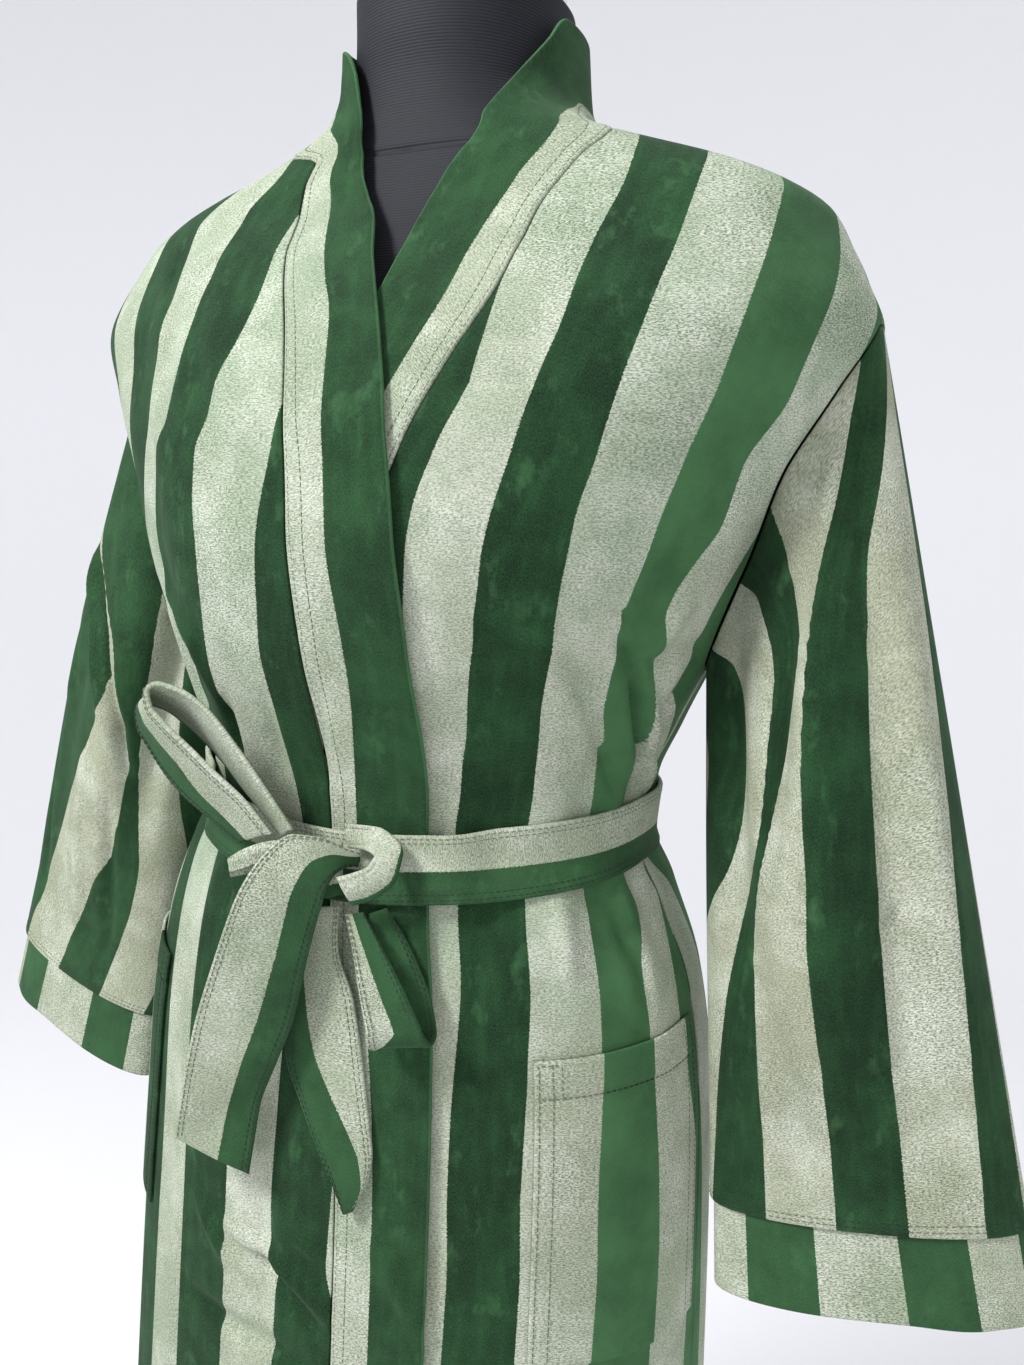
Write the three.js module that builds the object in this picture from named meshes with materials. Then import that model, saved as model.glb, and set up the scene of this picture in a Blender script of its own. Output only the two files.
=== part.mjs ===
// A kimono robe in wide striped velvet, worn wrapped and belted on a limbless dress form.
// Units are millimetres, +Z up. The robe faces -Y and +X is the wearer's left.
// The origin is the middle of the stand's underside, on the floor.
import * as THREE from "three";

// Cloth and seams
const CLOTH = 1.8;
const BAND = 3;
const BAND_RISE = 0.6;
const SEAM_GAP = 0.5;
const LAP_LIFT = 4.8;
const BELT_WIDTH = 39;
const BELT_THICKNESS = 3;
const BELT_CLEARANCE = 1.4;
const CUFF_DROP = 48;
const CUFF_OVERLAP = 14;
const CUFF_INSET = 0.4;
const POCKET_CLEARANCE = 0.7;
const KNOT_THICKNESS = 7.6;
const ROLL_THICKNESS = 7.9;

// Heights
const UNDERARM_Z = 1135;
const SHOULDER_POINT_Z = 1317;
const NECKLINE_Z = 1432;

// Stand
const FORM_BOTTOM_Z = 700;
const NECK_TOP_Z = 1500;
const CAP_HEIGHT = 26;
const CAP_RADIUS = 58;
const POLE_RADIUS = 15;
const BASE_RADIUS = 190;
const BASE_HEIGHT = 18;
const SOCKET_RADIUS = 27;
const SOCKET_HEIGHT = 34;
const PART_GAP = 0.3;

const DEG = Math.PI / 180;
const ROUNDNESS = 2.25;
const GREEN = 0x24512f;
const BEIGE = 0xb9bda6;
const FORM_BLACK = 0x16181d;
const CHROME = 0xc8cacc;

// Horizontal sections of the robe's outer face; above the neckline they carry the standing band.
const ROBE_SECTIONS = [
  { z: 200, halfWidth: 214, front: 146, back: 158, centreX: 0, centreY: 4 },
  { z: 500, halfWidth: 204, front: 138, back: 148, centreX: 0, centreY: 4 },
  { z: 700, halfWidth: 198, front: 133, back: 144, centreX: 0, centreY: 4 },
  { z: 830, halfWidth: 192, front: 129, back: 141, centreX: 0, centreY: 4 },
  { z: 900, halfWidth: 187, front: 126, back: 134, centreX: 0, centreY: 3 },
  { z: 950, halfWidth: 178, front: 121, back: 124, centreX: 0, centreY: 2 },
  { z: 1000, halfWidth: 158, front: 113, back: 110, centreX: 0, centreY: 0 },
  { z: 1035, halfWidth: 143, front: 106, back: 101, centreX: -2, centreY: 0 },
  { z: 1060, halfWidth: 144, front: 109, back: 102, centreX: -1, centreY: 0 },
  { z: 1100, halfWidth: 158, front: 122, back: 106, centreX: 0, centreY: 0 },
  { z: 1150, halfWidth: 176, front: 141, back: 112, centreX: 4, centreY: 0 },
  { z: 1200, halfWidth: 194, front: 151, back: 117, centreX: 7, centreY: 0 },
  { z: 1240, halfWidth: 210, front: 150, back: 120, centreX: 8, centreY: 0 },
  { z: 1280, halfWidth: 231, front: 140, back: 121, centreX: 7, centreY: 0 },
  { z: 1317, halfWidth: 247, front: 122, back: 118, centreX: 3, centreY: 0 },
  { z: 1340, halfWidth: 240, front: 107, back: 112, centreX: 0, centreY: 0 },
  { z: 1355, halfWidth: 232, front: 98, back: 107, centreX: 0, centreY: 0 },
  { z: 1372, halfWidth: 222, front: 88, back: 100, centreX: 0, centreY: 0 },
  { z: 1386, halfWidth: 202, front: 81, back: 93, centreX: 0, centreY: 0 },
  { z: 1396, halfWidth: 178, front: 77, back: 88, centreX: 2, centreY: 0 },
  { z: 1404, halfWidth: 152, front: 74, back: 84, centreX: 4, centreY: 0 },
  { z: 1412, halfWidth: 126, front: 72, back: 81, centreX: 4, centreY: 0 },
  { z: 1420, halfWidth: 101, front: 71, back: 78, centreX: 4, centreY: 0 },
  { z: 1432, halfWidth: 81, front: 69, back: 75, centreX: 4, centreY: 0 },
  { z: 1450, halfWidth: 72, front: 68, back: 72, centreX: 3, centreY: 0 },
  { z: 1490, halfWidth: 69, front: 68, back: 70, centreX: 1, centreY: 0 },
];

// Horizontal sections of the dress form, from its bottom to the top of its neck.
const FORM_SECTIONS = [
  { z: 700, halfWidth: 166, front: 108, back: 118, centreX: 0, centreY: 4 },
  { z: 830, halfWidth: 174, front: 113, back: 127, centreX: 0, centreY: 4 },
  { z: 900, halfWidth: 170, front: 111, back: 120, centreX: 0, centreY: 3 },
  { z: 950, halfWidth: 159, front: 106, back: 110, centreX: 0, centreY: 2 },
  { z: 1000, halfWidth: 140, front: 98, back: 97, centreX: 0, centreY: 0 },
  { z: 1035, halfWidth: 130, front: 93, back: 90, centreX: 0, centreY: 0 },
  { z: 1060, halfWidth: 132, front: 96, back: 91, centreX: 0, centreY: 0 },
  { z: 1100, halfWidth: 142, front: 108, back: 95, centreX: 0, centreY: 0 },
  { z: 1150, halfWidth: 156, front: 127, back: 101, centreX: 0, centreY: 0 },
  { z: 1200, halfWidth: 166, front: 138, back: 106, centreX: 0, centreY: 0 },
  { z: 1240, halfWidth: 172, front: 137, back: 109, centreX: 0, centreY: 0 },
  { z: 1280, halfWidth: 178, front: 126, back: 110, centreX: 0, centreY: 0 },
  { z: 1317, halfWidth: 184, front: 109, back: 107, centreX: 0, centreY: 0 },
  { z: 1340, halfWidth: 187, front: 96, back: 101, centreX: 0, centreY: 0 },
  { z: 1355, halfWidth: 188, front: 87, back: 96, centreX: 0, centreY: 0 },
  { z: 1372, halfWidth: 188, front: 78, back: 90, centreX: 0, centreY: 0 },
  { z: 1386, halfWidth: 184, front: 72, back: 84, centreX: 1, centreY: 0 },
  { z: 1396, halfWidth: 170, front: 68, back: 79, centreX: 2, centreY: 0 },
  { z: 1404, halfWidth: 144, front: 65, back: 76, centreX: 3, centreY: 0 },
  { z: 1412, halfWidth: 116, front: 63, back: 73, centreX: 3, centreY: 0 },
  { z: 1420, halfWidth: 91, front: 61, back: 70, centreX: 3, centreY: 0 },
  { z: 1432, halfWidth: 72, front: 59, back: 66, centreX: 2, centreY: 0 },
  { z: 1450, halfWidth: 63, front: 58, back: 62, centreX: 0, centreY: 0 },
  { z: 1475, halfWidth: 61, front: 60, back: 61, centreX: 0, centreY: 0 },
  { z: 1500, halfWidth: 62, front: 61, back: 62, centreX: 0, centreY: 0 },
];

// Sections across each band, from its sewn edge to its free edge, hem first.
const LEFT_BAND = [
  { seamAngle: -6, seamZ: 200, freeAngle: -22, freeZ: 200 },
  { seamAngle: -4, seamZ: 850, freeAngle: -20.5, freeZ: 850 },
  { seamAngle: -3, seamZ: 1000, freeAngle: -20.5, freeZ: 1000 },
  { seamAngle: -1, seamZ: 1060, freeAngle: -20, freeZ: 1062 },
  { seamAngle: 3, seamZ: 1130, freeAngle: -13, freeZ: 1138 },
  { seamAngle: 7.3, seamZ: 1180, freeAngle: -7.5, freeZ: 1196 },
  { seamAngle: 11.2, seamZ: 1224, freeAngle: -1.8, freeZ: 1250 },
  { seamAngle: 15.5, seamZ: 1281, freeAngle: 4.5, freeZ: 1317 },
  { seamAngle: 20.5, seamZ: 1340, freeAngle: 7.5, freeZ: 1374 },
  { seamAngle: 23.5, seamZ: 1368, freeAngle: 11, freeZ: 1395 },
  { seamAngle: 31.5, seamZ: 1390, freeAngle: 22, freeZ: 1416 },
  { seamAngle: 44, seamZ: 1403, freeAngle: 36, freeZ: 1431 },
  { seamAngle: 60, seamZ: 1413, freeAngle: 52, freeZ: 1448 },
  { seamAngle: 76, seamZ: 1424, freeAngle: 68, freeZ: 1467 },
  { seamAngle: 92, seamZ: 1434, freeAngle: 84, freeZ: 1485 },
  { seamAngle: 120, seamZ: 1434, freeAngle: 116, freeZ: 1487 },
  { seamAngle: 150, seamZ: 1434, freeAngle: 148, freeZ: 1487 },
  { seamAngle: 179.8, seamZ: 1434, freeAngle: 179.8, freeZ: 1487 },
];
const RIGHT_BAND = [
  { seamAngle: 9, seamZ: 200, freeAngle: 24, freeZ: 200 },
  { seamAngle: 6.5, seamZ: 850, freeAngle: 22.5, freeZ: 850 },
  { seamAngle: 3, seamZ: 980, freeAngle: 22.2, freeZ: 984 },
  { seamAngle: 1.5, seamZ: 1053, freeAngle: 22.8, freeZ: 1056 },
  { seamAngle: 0.3, seamZ: 1130, freeAngle: 18.2, freeZ: 1136 },
  { seamAngle: -0.5, seamZ: 1190, freeAngle: 14, freeZ: 1200 },
  { seamAngle: -1.5, seamZ: 1240, freeAngle: 9.8, freeZ: 1258 },
  { seamAngle: -3.5, seamZ: 1292, freeAngle: 5.3, freeZ: 1310 },
  { seamAngle: -7, seamZ: 1339, freeAngle: 1, freeZ: 1362 },
  { seamAngle: -10, seamZ: 1370, freeAngle: -3.5, freeZ: 1393 },
  { seamAngle: -17.5, seamZ: 1402, freeAngle: -12, freeZ: 1418 },
  { seamAngle: -38, seamZ: 1412, freeAngle: -22, freeZ: 1436 },
  { seamAngle: -62, seamZ: 1422, freeAngle: -36, freeZ: 1463 },
  { seamAngle: -90, seamZ: 1434, freeAngle: -74, freeZ: 1480 },
  { seamAngle: -120, seamZ: 1434, freeAngle: -112, freeZ: 1486 },
  { seamAngle: -150, seamZ: 1434, freeAngle: -148, freeZ: 1487 },
  { seamAngle: -179.8, seamZ: 1434, freeAngle: -179.8, freeZ: 1487 },
];

// Rows of the body's cloth.
const BODY_ROWS = [
  200, 330, 460, 590, 700, 780, 850, 900, 940, 975, 1005, 1022, 1040, 1060, 1098, 1135, 1168,
  1200, 1232, 1262, 1290, 1317, 1334, 1350, 1364, 1376, 1386, 1394, 1401, 1407, 1413, 1419, 1425, 1432,
];
const FRONT_COLUMNS = 12;
const BACK_COLUMNS = 16;

// How far the armhole opens round the body, either side of the side line; its front narrows low down.
const ARMHOLE_FRONT = 11;
const ARMHOLE_BACK = 12;
const ARMHOLE_LOW = { share: 0.62, fromZ: 1190, overZ: 55 };

// Each sleeve's end: its middle, half sizes, turn in degrees and tilt. The right one hangs a little wider.
const SLEEVE_ENDS = {
  left: { x: 284, y: -8, z: 857, half: 80, depth: 25, turn: 8, tilt: 0.16 },
  right: { x: 289, y: -8, z: 857, half: 85, depth: 25, turn: 8, tilt: 0.16 },
};
// How far a sleeve's section fills out on the way there, and where along it that is most.
const SLEEVE_ROUND = 19.2;
const SLEEVE_FULLEST = 1.15;
const SLEEVE_LENGTH = 430;
// How far a sleeve's top stays inside the armhole, in height and in degrees.
const SLEEVE_INSET_Z = 3;
const SLEEVE_INSET_ANGLE = 1.4;
const SLEEVE_COLUMNS = [0, 0.03, 0.08, 0.15, 0.24, 0.34, 0.45, 0.56, 0.67, 0.78, 0.89, 1];
// Soft folds of a sleeve: place round it in degrees, reach along it, half width and depth.
const SLEEVE_FOLDS = [
  { around: 128, from: 0, to: 0.62, spread: 20, depth: -9 },
  { around: 100, from: 0.03, to: 0.9, spread: 24, depth: 8 },
  { around: 60, from: 0.1, to: 1, spread: 22, depth: -5 },
  { around: 250, from: 0.1, to: 1, spread: 30, depth: 6 },
];

// Pockets, from the inner edge to the side, and from the mouth down.
const POCKET = { inner: 41, outer: 86, mouthZ: 932, bottomZ: 765, thickness: 2 };
const POCKET_SLANT = 8;
const POCKET_COLUMNS = 8;
const POCKET_ROWS = 6;

// The belt's centre height round the body.
const BELT_LINE = [
  { angle: -180, z: 1044 },
  { angle: -90, z: 1047 },
  { angle: -50, z: 1041 },
  { angle: -22, z: 1027 },
  { angle: 0, z: 1021 },
  { angle: 27, z: 1027 },
  { angle: 45, z: 1032 },
  { angle: 68, z: 1037 },
  { angle: 90, z: 1041 },
  { angle: 180, z: 1044 },
];

// The bow's straps, row by row along each: one edge (a) and the other (b).
const KNOT_WRAP = [
  { ax: 23.8, ay: -121.1, az: 1033.7, bx: 20.5, by: -121.0, bz: 1046.6 },
  { ax: 32.2, ay: -121.3, az: 1034.2, bx: 38.4, by: -116.5, bz: 1046.6 },
  { ax: 39.4, ay: -124.5, az: 1034.6, bx: 50.6, by: -116.7, bz: 1041.8 },
  { ax: 44.2, ay: -127.8, az: 1033.6, bx: 56.9, by: -120.2, bz: 1034.7 },
  { ax: 44.1, ay: -132.8, az: 1030.6, bx: 56.9, by: -125.0, bz: 1024.2 },
  { ax: 38.3, ay: -138.4, az: 1027.2, bx: 49.8, by: -131.0, bz: 1014.9 },
  { ax: 30.8, ay: -141.5, az: 1024.4, bx: 37.3, by: -135.8, bz: 1008.9 },
];
const KNOT_ROLL = [
  { ax: -3.2, ay: -136.4, az: 1037.7, bx: -4.5, by: -139.1, bz: 1023.0 },
  { ax: -13.9, ay: -144.3, az: 1035.5, bx: -13.4, by: -146.0, bz: 1021.9 },
  { ax: -24.0, ay: -148.9, az: 1030.9, bx: -20.7, by: -149.0, bz: 1018.1 },
  { ax: -33.1, ay: -149.8, az: 1024.6, bx: -30.2, by: -149.7, bz: 1014.8 },
];
const KNOT_CORE = [
  { ax: 22.3, ay: -124.7, az: 1037.5, bx: 25.2, by: -127.0, bz: 1010.4 },
  { ax: 14.4, ay: -129.7, az: 1038.3, bx: 17.6, by: -132.3, bz: 1008.2 },
  { ax: 2.9, ay: -135.7, az: 1036.5, bx: 5.8, by: -138.2, bz: 1008.5 },
];
const TAIL_FRONT = [
  { ax: 31.4, ay: -122.0, az: 1032.6, bx: 31.2, by: -123.0, bz: 1025.7 },
  { ax: 27.0, ay: -128.3, az: 1035.4, bx: 28.9, by: -128.6, bz: 1026.2 },
  { ax: 15.7, ay: -137.6, az: 1041.9, bx: 26.6, by: -135.8, bz: 1023.8 },
  { ax: 4.2, ay: -144.3, az: 1042.9, bx: 25.6, by: -140.2, bz: 1019.4 },
  { ax: -7.7, ay: -153.1, az: 1031.1, bx: 24.9, by: -142.3, bz: 1015.1 },
  { ax: -13.8, ay: -157.8, az: 1019.5, bx: 23.6, by: -142.8, bz: 1008.6 },
  { ax: -20.0, ay: -160.8, az: 1004.1, bx: 21.3, by: -142.7, bz: 1001.1 },
  { ax: -29.5, ay: -161.4, az: 977.4, bx: 15.0, by: -142.5, bz: 977.0 },
  { ax: -41.5, ay: -161.0, az: 942.3, bx: 8.3, by: -142.4, bz: 945.2 },
  { ax: -51.6, ay: -158.5, az: 907.5, bx: -2.4, by: -142.7, bz: 916.2 },
  { ax: -59.3, ay: -155.9, az: 873.2, bx: -16.1, by: -139.7, bz: 882.2 },
  { ax: -61.7, ay: -155.4, az: 861.0, bx: -19.3, by: -142.9, bz: 846.5 },
];
const TAIL_BACK = [
  { ax: 3.2, ay: -131.5, az: 999.9, bx: 22.4, by: -125.9, bz: 1003.4 },
  { ax: 1.6, ay: -133.3, az: 976.9, bx: 24.4, by: -128.1, bz: 980.4 },
  { ax: -3.6, ay: -130.3, az: 943.7, bx: 34.2, by: -126.7, bz: 954.7 },
  { ax: -5.7, ay: -131.6, az: 918.0, bx: 41.7, by: -127.3, bz: 923.7 },
  { ax: 4.5, ay: -131.2, az: 892.0, bx: 47.6, by: -128.3, bz: 895.1 },
  { ax: 21.8, ay: -134.9, az: 867.6, bx: 51.9, by: -129.4, bz: 871.8 },
  { ax: 32.1, ay: -134.5, az: 849.7, bx: 49.9, by: -130.1, bz: 857.4 },
  { ax: 38.7, ay: -134.0, az: 837.9, bx: 43.3, by: -133.4, bz: 841.5 },
];
const LOOP_LOWER = [
  { ax: 30.6, ay: -132.2, az: 1002.2, bx: 39.8, by: -128.5, bz: 1004.1 },
  { ax: 39.7, ay: -137.7, az: 986.6, bx: 53.2, by: -131.6, bz: 990.3 },
  { ax: 49.8, ay: -143.6, az: 964.4, bx: 70.6, by: -134.6, bz: 970.5 },
  { ax: 56.0, ay: -146.2, az: 947.9, bx: 82.3, by: -134.7, bz: 951.9 },
  { ax: 54.8, ay: -141.3, az: 939.2, bx: 85.0, by: -128.8, bz: 944.4 },
  { ax: 52.6, ay: -133.5, az: 938.1, bx: 82.8, by: -121.5, bz: 947.3 },
  { ax: 50.9, ay: -126.6, az: 958.5, bx: 74.5, by: -118.1, bz: 966.7 },
  { ax: 45.3, ay: -123.3, az: 983.4, bx: 61.4, by: -117.9, bz: 988.1 },
  { ax: 38.5, ay: -122.0, az: 1001.1, bx: 47.6, by: -119.1, bz: 1005.4 },
];
const LOOP_UPPER = [
  { ax: -0.3, ay: -138.7, az: 1043.1, bx: -16.6, by: -124.6, bz: 1032.8 },
  { ax: -16.4, ay: -141.7, az: 1063.0, bx: -44.3, by: -117.2, bz: 1048.1 },
  { ax: -33.7, ay: -144.3, az: 1082.9, bx: -65.1, by: -117.3, bz: 1065.6 },
  { ax: -54.2, ay: -147.3, az: 1102.7, bx: -89.6, by: -120.3, bz: 1084.1 },
  { ax: -67.9, ay: -150.8, az: 1110.6, bx: -105.4, by: -124.7, bz: 1093.7 },
  { ax: -80.2, ay: -154.4, az: 1113.4, bx: -117.5, by: -128.1, bz: 1096.1 },
  { ax: -85.8, ay: -156.6, az: 1109.2, bx: -121.2, by: -129.7, bz: 1090.1 },
  { ax: -83.5, ay: -156.6, az: 1100.8, bx: -119.2, by: -130.0, bz: 1081.0 },
  { ax: -75.7, ay: -154.9, az: 1092.9, bx: -111.6, by: -128.8, bz: 1070.2 },
  { ax: -58.9, ay: -150.7, az: 1079.3, bx: -100.4, by: -127.3, bz: 1056.3 },
  { ax: -44.8, ay: -147.4, az: 1067.8, bx: -86.0, by: -126.2, bz: 1044.9 },
  { ax: -28.7, ay: -144.3, az: 1056.2, bx: -65.8, by: -128.5, bz: 1036.5 },
  { ax: -11.1, ay: -142.3, az: 1039.8, bx: -39.5, by: -133.4, bz: 1027.9 },
];
const STRAP_SPLIT = 2;
const STRAP_COLUMNS = 3;

// A smooth curve through one column of a table whose rows are in order of another.
function track(rows, by, name) {
  const x = rows.map((row) => row[by]);
  const y = rows.map((row) => row[name]);
  const last = x.length - 1;
  const secant = x.slice(1).map((v, i) => (y[i + 1] - y[i]) / (v - x[i]));
  const slope = y.map((_, i) => {
    if (i === 0) return secant[0];
    if (i === last) return secant[last - 1];
    const product = secant[i - 1] * secant[i];
    return product <= 0 ? 0 : (2 * product) / (secant[i - 1] + secant[i]);
  });
  return (at) => {
    let i = 0;
    while (i < last - 1 && at > x[i + 1]) i += 1;
    const h = x[i + 1] - x[i];
    const t = Math.min(1, Math.max(0, (at - x[i]) / h));
    const u = 1 - t;
    return (
      y[i] * (1 + 2 * t) * u * u +
      y[i + 1] * t * t * (3 - 2 * t) +
      h * t * u * (slope[i] * u - slope[i + 1] * t)
    );
  };
}

const smooth = (t) => {
  const c = Math.min(1, Math.max(0, t));
  return c * c * (3 - 2 * c);
};
const mix = (a, b, t) => a + (b - a) * t;
const power = (v, p) => Math.sign(v) * Math.abs(v) ** p;

// A body given by horizontal sections: a point at an angle round it and a height.
function body(sections) {
  const halfWidth = track(sections, "z", "halfWidth");
  const front = track(sections, "z", "front");
  const back = track(sections, "z", "back");
  const centreX = track(sections, "z", "centreX");
  const centreY = track(sections, "z", "centreY");
  const bare = (angle, z) => {
    const s = Math.sin(angle * DEG);
    const c = Math.cos(angle * DEG);
    const depth = c > 0 ? front(z) : back(z);
    return new THREE.Vector3(
      centreX(z) + halfWidth(z) * power(s, 2 / ROUNDNESS),
      centreY(z) - depth * power(c, 2 / ROUNDNESS),
      z,
    );
  };
  const normal = (angle, z) => {
    const around = bare(angle + 0.2, z).sub(bare(angle - 0.2, z));
    const up = bare(angle, z + 0.5).sub(bare(angle, z - 0.5));
    return around.cross(up).normalize();
  };
  const point = (angle, z, off = 0) => {
    const p = bare(angle, z);
    return off ? p.addScaledVector(normal(angle, z), off) : p;
  };
  // The angle that leaves half a seam gap to the side line.
  const sideGap = (z, isFront) => {
    const depth = isFront ? front(z) : back(z);
    return 90 - Math.acos((SEAM_GAP / 2 / depth) ** (ROUNDNESS / 2)) / DEG;
  };
  return { point, normal, sideGap };
}

const robe = body(ROBE_SECTIONS);
const form = body(FORM_SECTIONS);

// How far the wrapped right front lies above the left one.
const LAP_RISE = { fromAngle: -34, overAngle: 9, belowZ: 1378, overZ: 40 };
function lapLift(angle, z) {
  const overLeft = smooth((angle - LAP_RISE.fromAngle) / LAP_RISE.overAngle);
  const belowCrossing = smooth((LAP_RISE.belowZ - z) / LAP_RISE.overZ);
  return LAP_LIFT * overLeft * belowCrossing;
}

// Closed thin sheet from a grid of outer and inner points; rounds are closed tubes.
function sheet(name, columns, rows, outer, inner, colour, closed = false) {
  const points = [];
  const faces = [];
  const count = columns * rows;
  for (const side of [outer, inner]) {
    for (let j = 0; j < rows; j += 1) {
      for (let i = 0; i < columns; i += 1) points.push(side(i, j));
    }
  }
  const at = (i, j, layer) => layer * count + j * columns + (i % columns);
  const quad = (a, b, c, d) => faces.push(a, b, c, a, c, d);
  const spans = closed ? columns : columns - 1;
  for (let j = 0; j < rows - 1; j += 1) {
    for (let i = 0; i < spans; i += 1) {
      quad(at(i, j, 0), at(i + 1, j, 0), at(i + 1, j + 1, 0), at(i, j + 1, 0));
      quad(at(i, j, 1), at(i, j + 1, 1), at(i + 1, j + 1, 1), at(i + 1, j, 1));
    }
  }
  for (let i = 0; i < spans; i += 1) {
    quad(at(i, 0, 0), at(i, 0, 1), at(i + 1, 0, 1), at(i + 1, 0, 0));
    const j = rows - 1;
    quad(at(i, j, 0), at(i + 1, j, 0), at(i + 1, j, 1), at(i, j, 1));
  }
  if (!closed) {
    const last = columns - 1;
    for (let j = 0; j < rows - 1; j += 1) {
      quad(at(0, j, 0), at(0, j + 1, 0), at(0, j + 1, 1), at(0, j, 1));
      quad(at(last, j, 0), at(last, j, 1), at(last, j + 1, 1), at(last, j + 1, 0));
    }
  }
  return solid(name, points, faces, colour);
}

// A mesh from points and triangles, turned so that its faces look out.
function solid(name, points, faces, colour, metal = 0) {
  const geometry = new THREE.BufferGeometry();
  geometry.setAttribute("position", new THREE.Float32BufferAttribute(points.flatMap((p) => [p.x, p.y, p.z]), 3));
  let volume = 0;
  for (let k = 0; k < faces.length; k += 3) {
    const [a, b, c] = [points[faces[k]], points[faces[k + 1]], points[faces[k + 2]]];
    volume += a.dot(b.clone().cross(c));
  }
  const order = [];
  for (let k = 0; k < faces.length; k += 3) {
    if (volume < 0) order.push(faces[k], faces[k + 2], faces[k + 1]);
    else order.push(faces[k], faces[k + 1], faces[k + 2]);
  }
  geometry.setIndex(order);
  geometry.computeVertexNormals();
  const roughness = metal ? 0.25 : 0.9;
  const material = new THREE.MeshStandardMaterial({ color: colour, roughness, metalness: metal });
  const mesh = new THREE.Mesh(geometry, material);
  mesh.name = name;
  return mesh;
}

// A solid of revolution about the stand's axis, from radius and height rows.
function turned(name, profile, segments, colour, metal = 0) {
  const points = [new THREE.Vector3(0, 0, profile[0][1])];
  const faces = [];
  for (const [radius, z] of profile) {
    for (let i = 0; i < segments; i += 1) {
      const a = (i / segments) * 2 * Math.PI;
      points.push(new THREE.Vector3(radius * Math.cos(a), radius * Math.sin(a), z));
    }
  }
  points.push(new THREE.Vector3(0, 0, profile[profile.length - 1][1]));
  const at = (i, j) => 1 + j * segments + (i % segments);
  const top = points.length - 1;
  for (let i = 0; i < segments; i += 1) {
    faces.push(0, at(i + 1, 0), at(i, 0));
    faces.push(top, at(i, profile.length - 1), at(i + 1, profile.length - 1));
    for (let j = 0; j < profile.length - 1; j += 1) {
      faces.push(at(i, j), at(i + 1, j), at(i + 1, j + 1), at(i, j), at(i + 1, j + 1), at(i, j + 1));
    }
  }
  return solid(name, points, faces, colour, metal);
}

// How much of its full reach the armhole's front keeps at a height.
const frontShare = (z) => mix(ARMHOLE_LOW.share, 1, smooth((z - ARMHOLE_LOW.fromZ) / ARMHOLE_LOW.overZ));

// Armhole: how far its edge stands off the side line at a height, in degrees.
function armhole(z, reach) {
  const middle = (SHOULDER_POINT_Z + UNDERARM_Z) / 2;
  const half = (SHOULDER_POINT_Z - UNDERARM_Z) / 2;
  const t = (z - middle) / half;
  return Math.abs(t) >= 1 ? 0 : reach * Math.sqrt(1 - t * t);
}

// The columns of a band's table as curves along it, and the place along it at a seam height.
function bandCurves(rows) {
  const keyed = rows.map((row, k) => ({ ...row, k }));
  const curves = { last: rows.length - 1, neck: rows.findIndex((row) => row.seamZ > NECKLINE_Z) };
  for (const name of ["seamAngle", "seamZ", "freeAngle", "freeZ"]) curves[name] = track(keyed, "k", name);
  curves.placeAt = (z) => {
    let [low, high] = [0, curves.neck];
    for (let n = 0; n < 40; n += 1) {
      const middle = (low + high) / 2;
      if (curves.seamZ(middle) < z) low = middle;
      else high = middle;
    }
    return low;
  };
  return curves;
}

// One front: from its band's seam to the shoulder, armhole and side.
function front(name, rows, side, colour) {
  const curves = bandCurves(rows);
  const seam = (z) => curves.seamAngle(curves.placeAt(z));
  const bounds = (z) => {
    const open = armhole(z, ARMHOLE_FRONT) * frontShare(z);
    const outer = 90 - Math.max(robe.sideGap(z, true), open);
    const depth = robe.point(seam(z), z).setZ(0).length();
    const inner = side * seam(z) + (SEAM_GAP / depth) / DEG;
    return [inner, outer];
  };
  const place = (i, j, off) => {
    const z = BODY_ROWS[j];
    const [inner, outer] = bounds(z);
    const angle = side * mix(inner, outer, i / (FRONT_COLUMNS - 1));
    const lift = side < 0 ? lapLift(angle, z) : 0;
    return robe.point(angle, z, lift + off);
  };
  return sheet(
    name,
    FRONT_COLUMNS,
    BODY_ROWS.length,
    (i, j) => place(i, j, 0),
    (i, j) => place(i, j, -CLOTH),
    colour,
  );
}

function back() {
  const place = (i, j, off) => {
    const z = BODY_ROWS[j];
    const open = armhole(z, ARMHOLE_BACK);
    const start = 90 + Math.max(robe.sideGap(z, false), open);
    const angle = mix(start, 360 - start, i / (BACK_COLUMNS - 1));
    return robe.point(angle, z, off);
  };
  return sheet(
    "back",
    BACK_COLUMNS,
    BODY_ROWS.length,
    (i, j) => place(i, j, 0),
    (i, j) => place(i, j, -CLOTH),
    GREEN,
  );
}

// One half of the band: down a front edge, and round the neck to the middle of the back.
const BAND_COLUMNS = 4;
function band(name, rows, lifted) {
  const curves = bandCurves(rows);
  // Its rows meet the front's rows, then go on round the neck.
  const steps = BODY_ROWS.map(curves.placeAt);
  for (let k = curves.neck; k <= curves.last; k += 0.5) steps.push(k);
  const place = (i, j, off) => {
    const k = steps[j];
    const t = i / (BAND_COLUMNS - 1);
    const angle = mix(curves.seamAngle(k), curves.freeAngle(k), t);
    const z = mix(curves.seamZ(k), curves.freeZ(k), t);
    const lift = lifted ? lapLift(angle, z) : 0;
    return robe.point(angle, z, lift + off);
  };
  return sheet(
    name,
    BAND_COLUMNS,
    steps.length,
    (i, j) => place(i, j, BAND_RISE),
    (i, j) => place(i, j, BAND_RISE - BAND),
    GREEN,
  );
}

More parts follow.
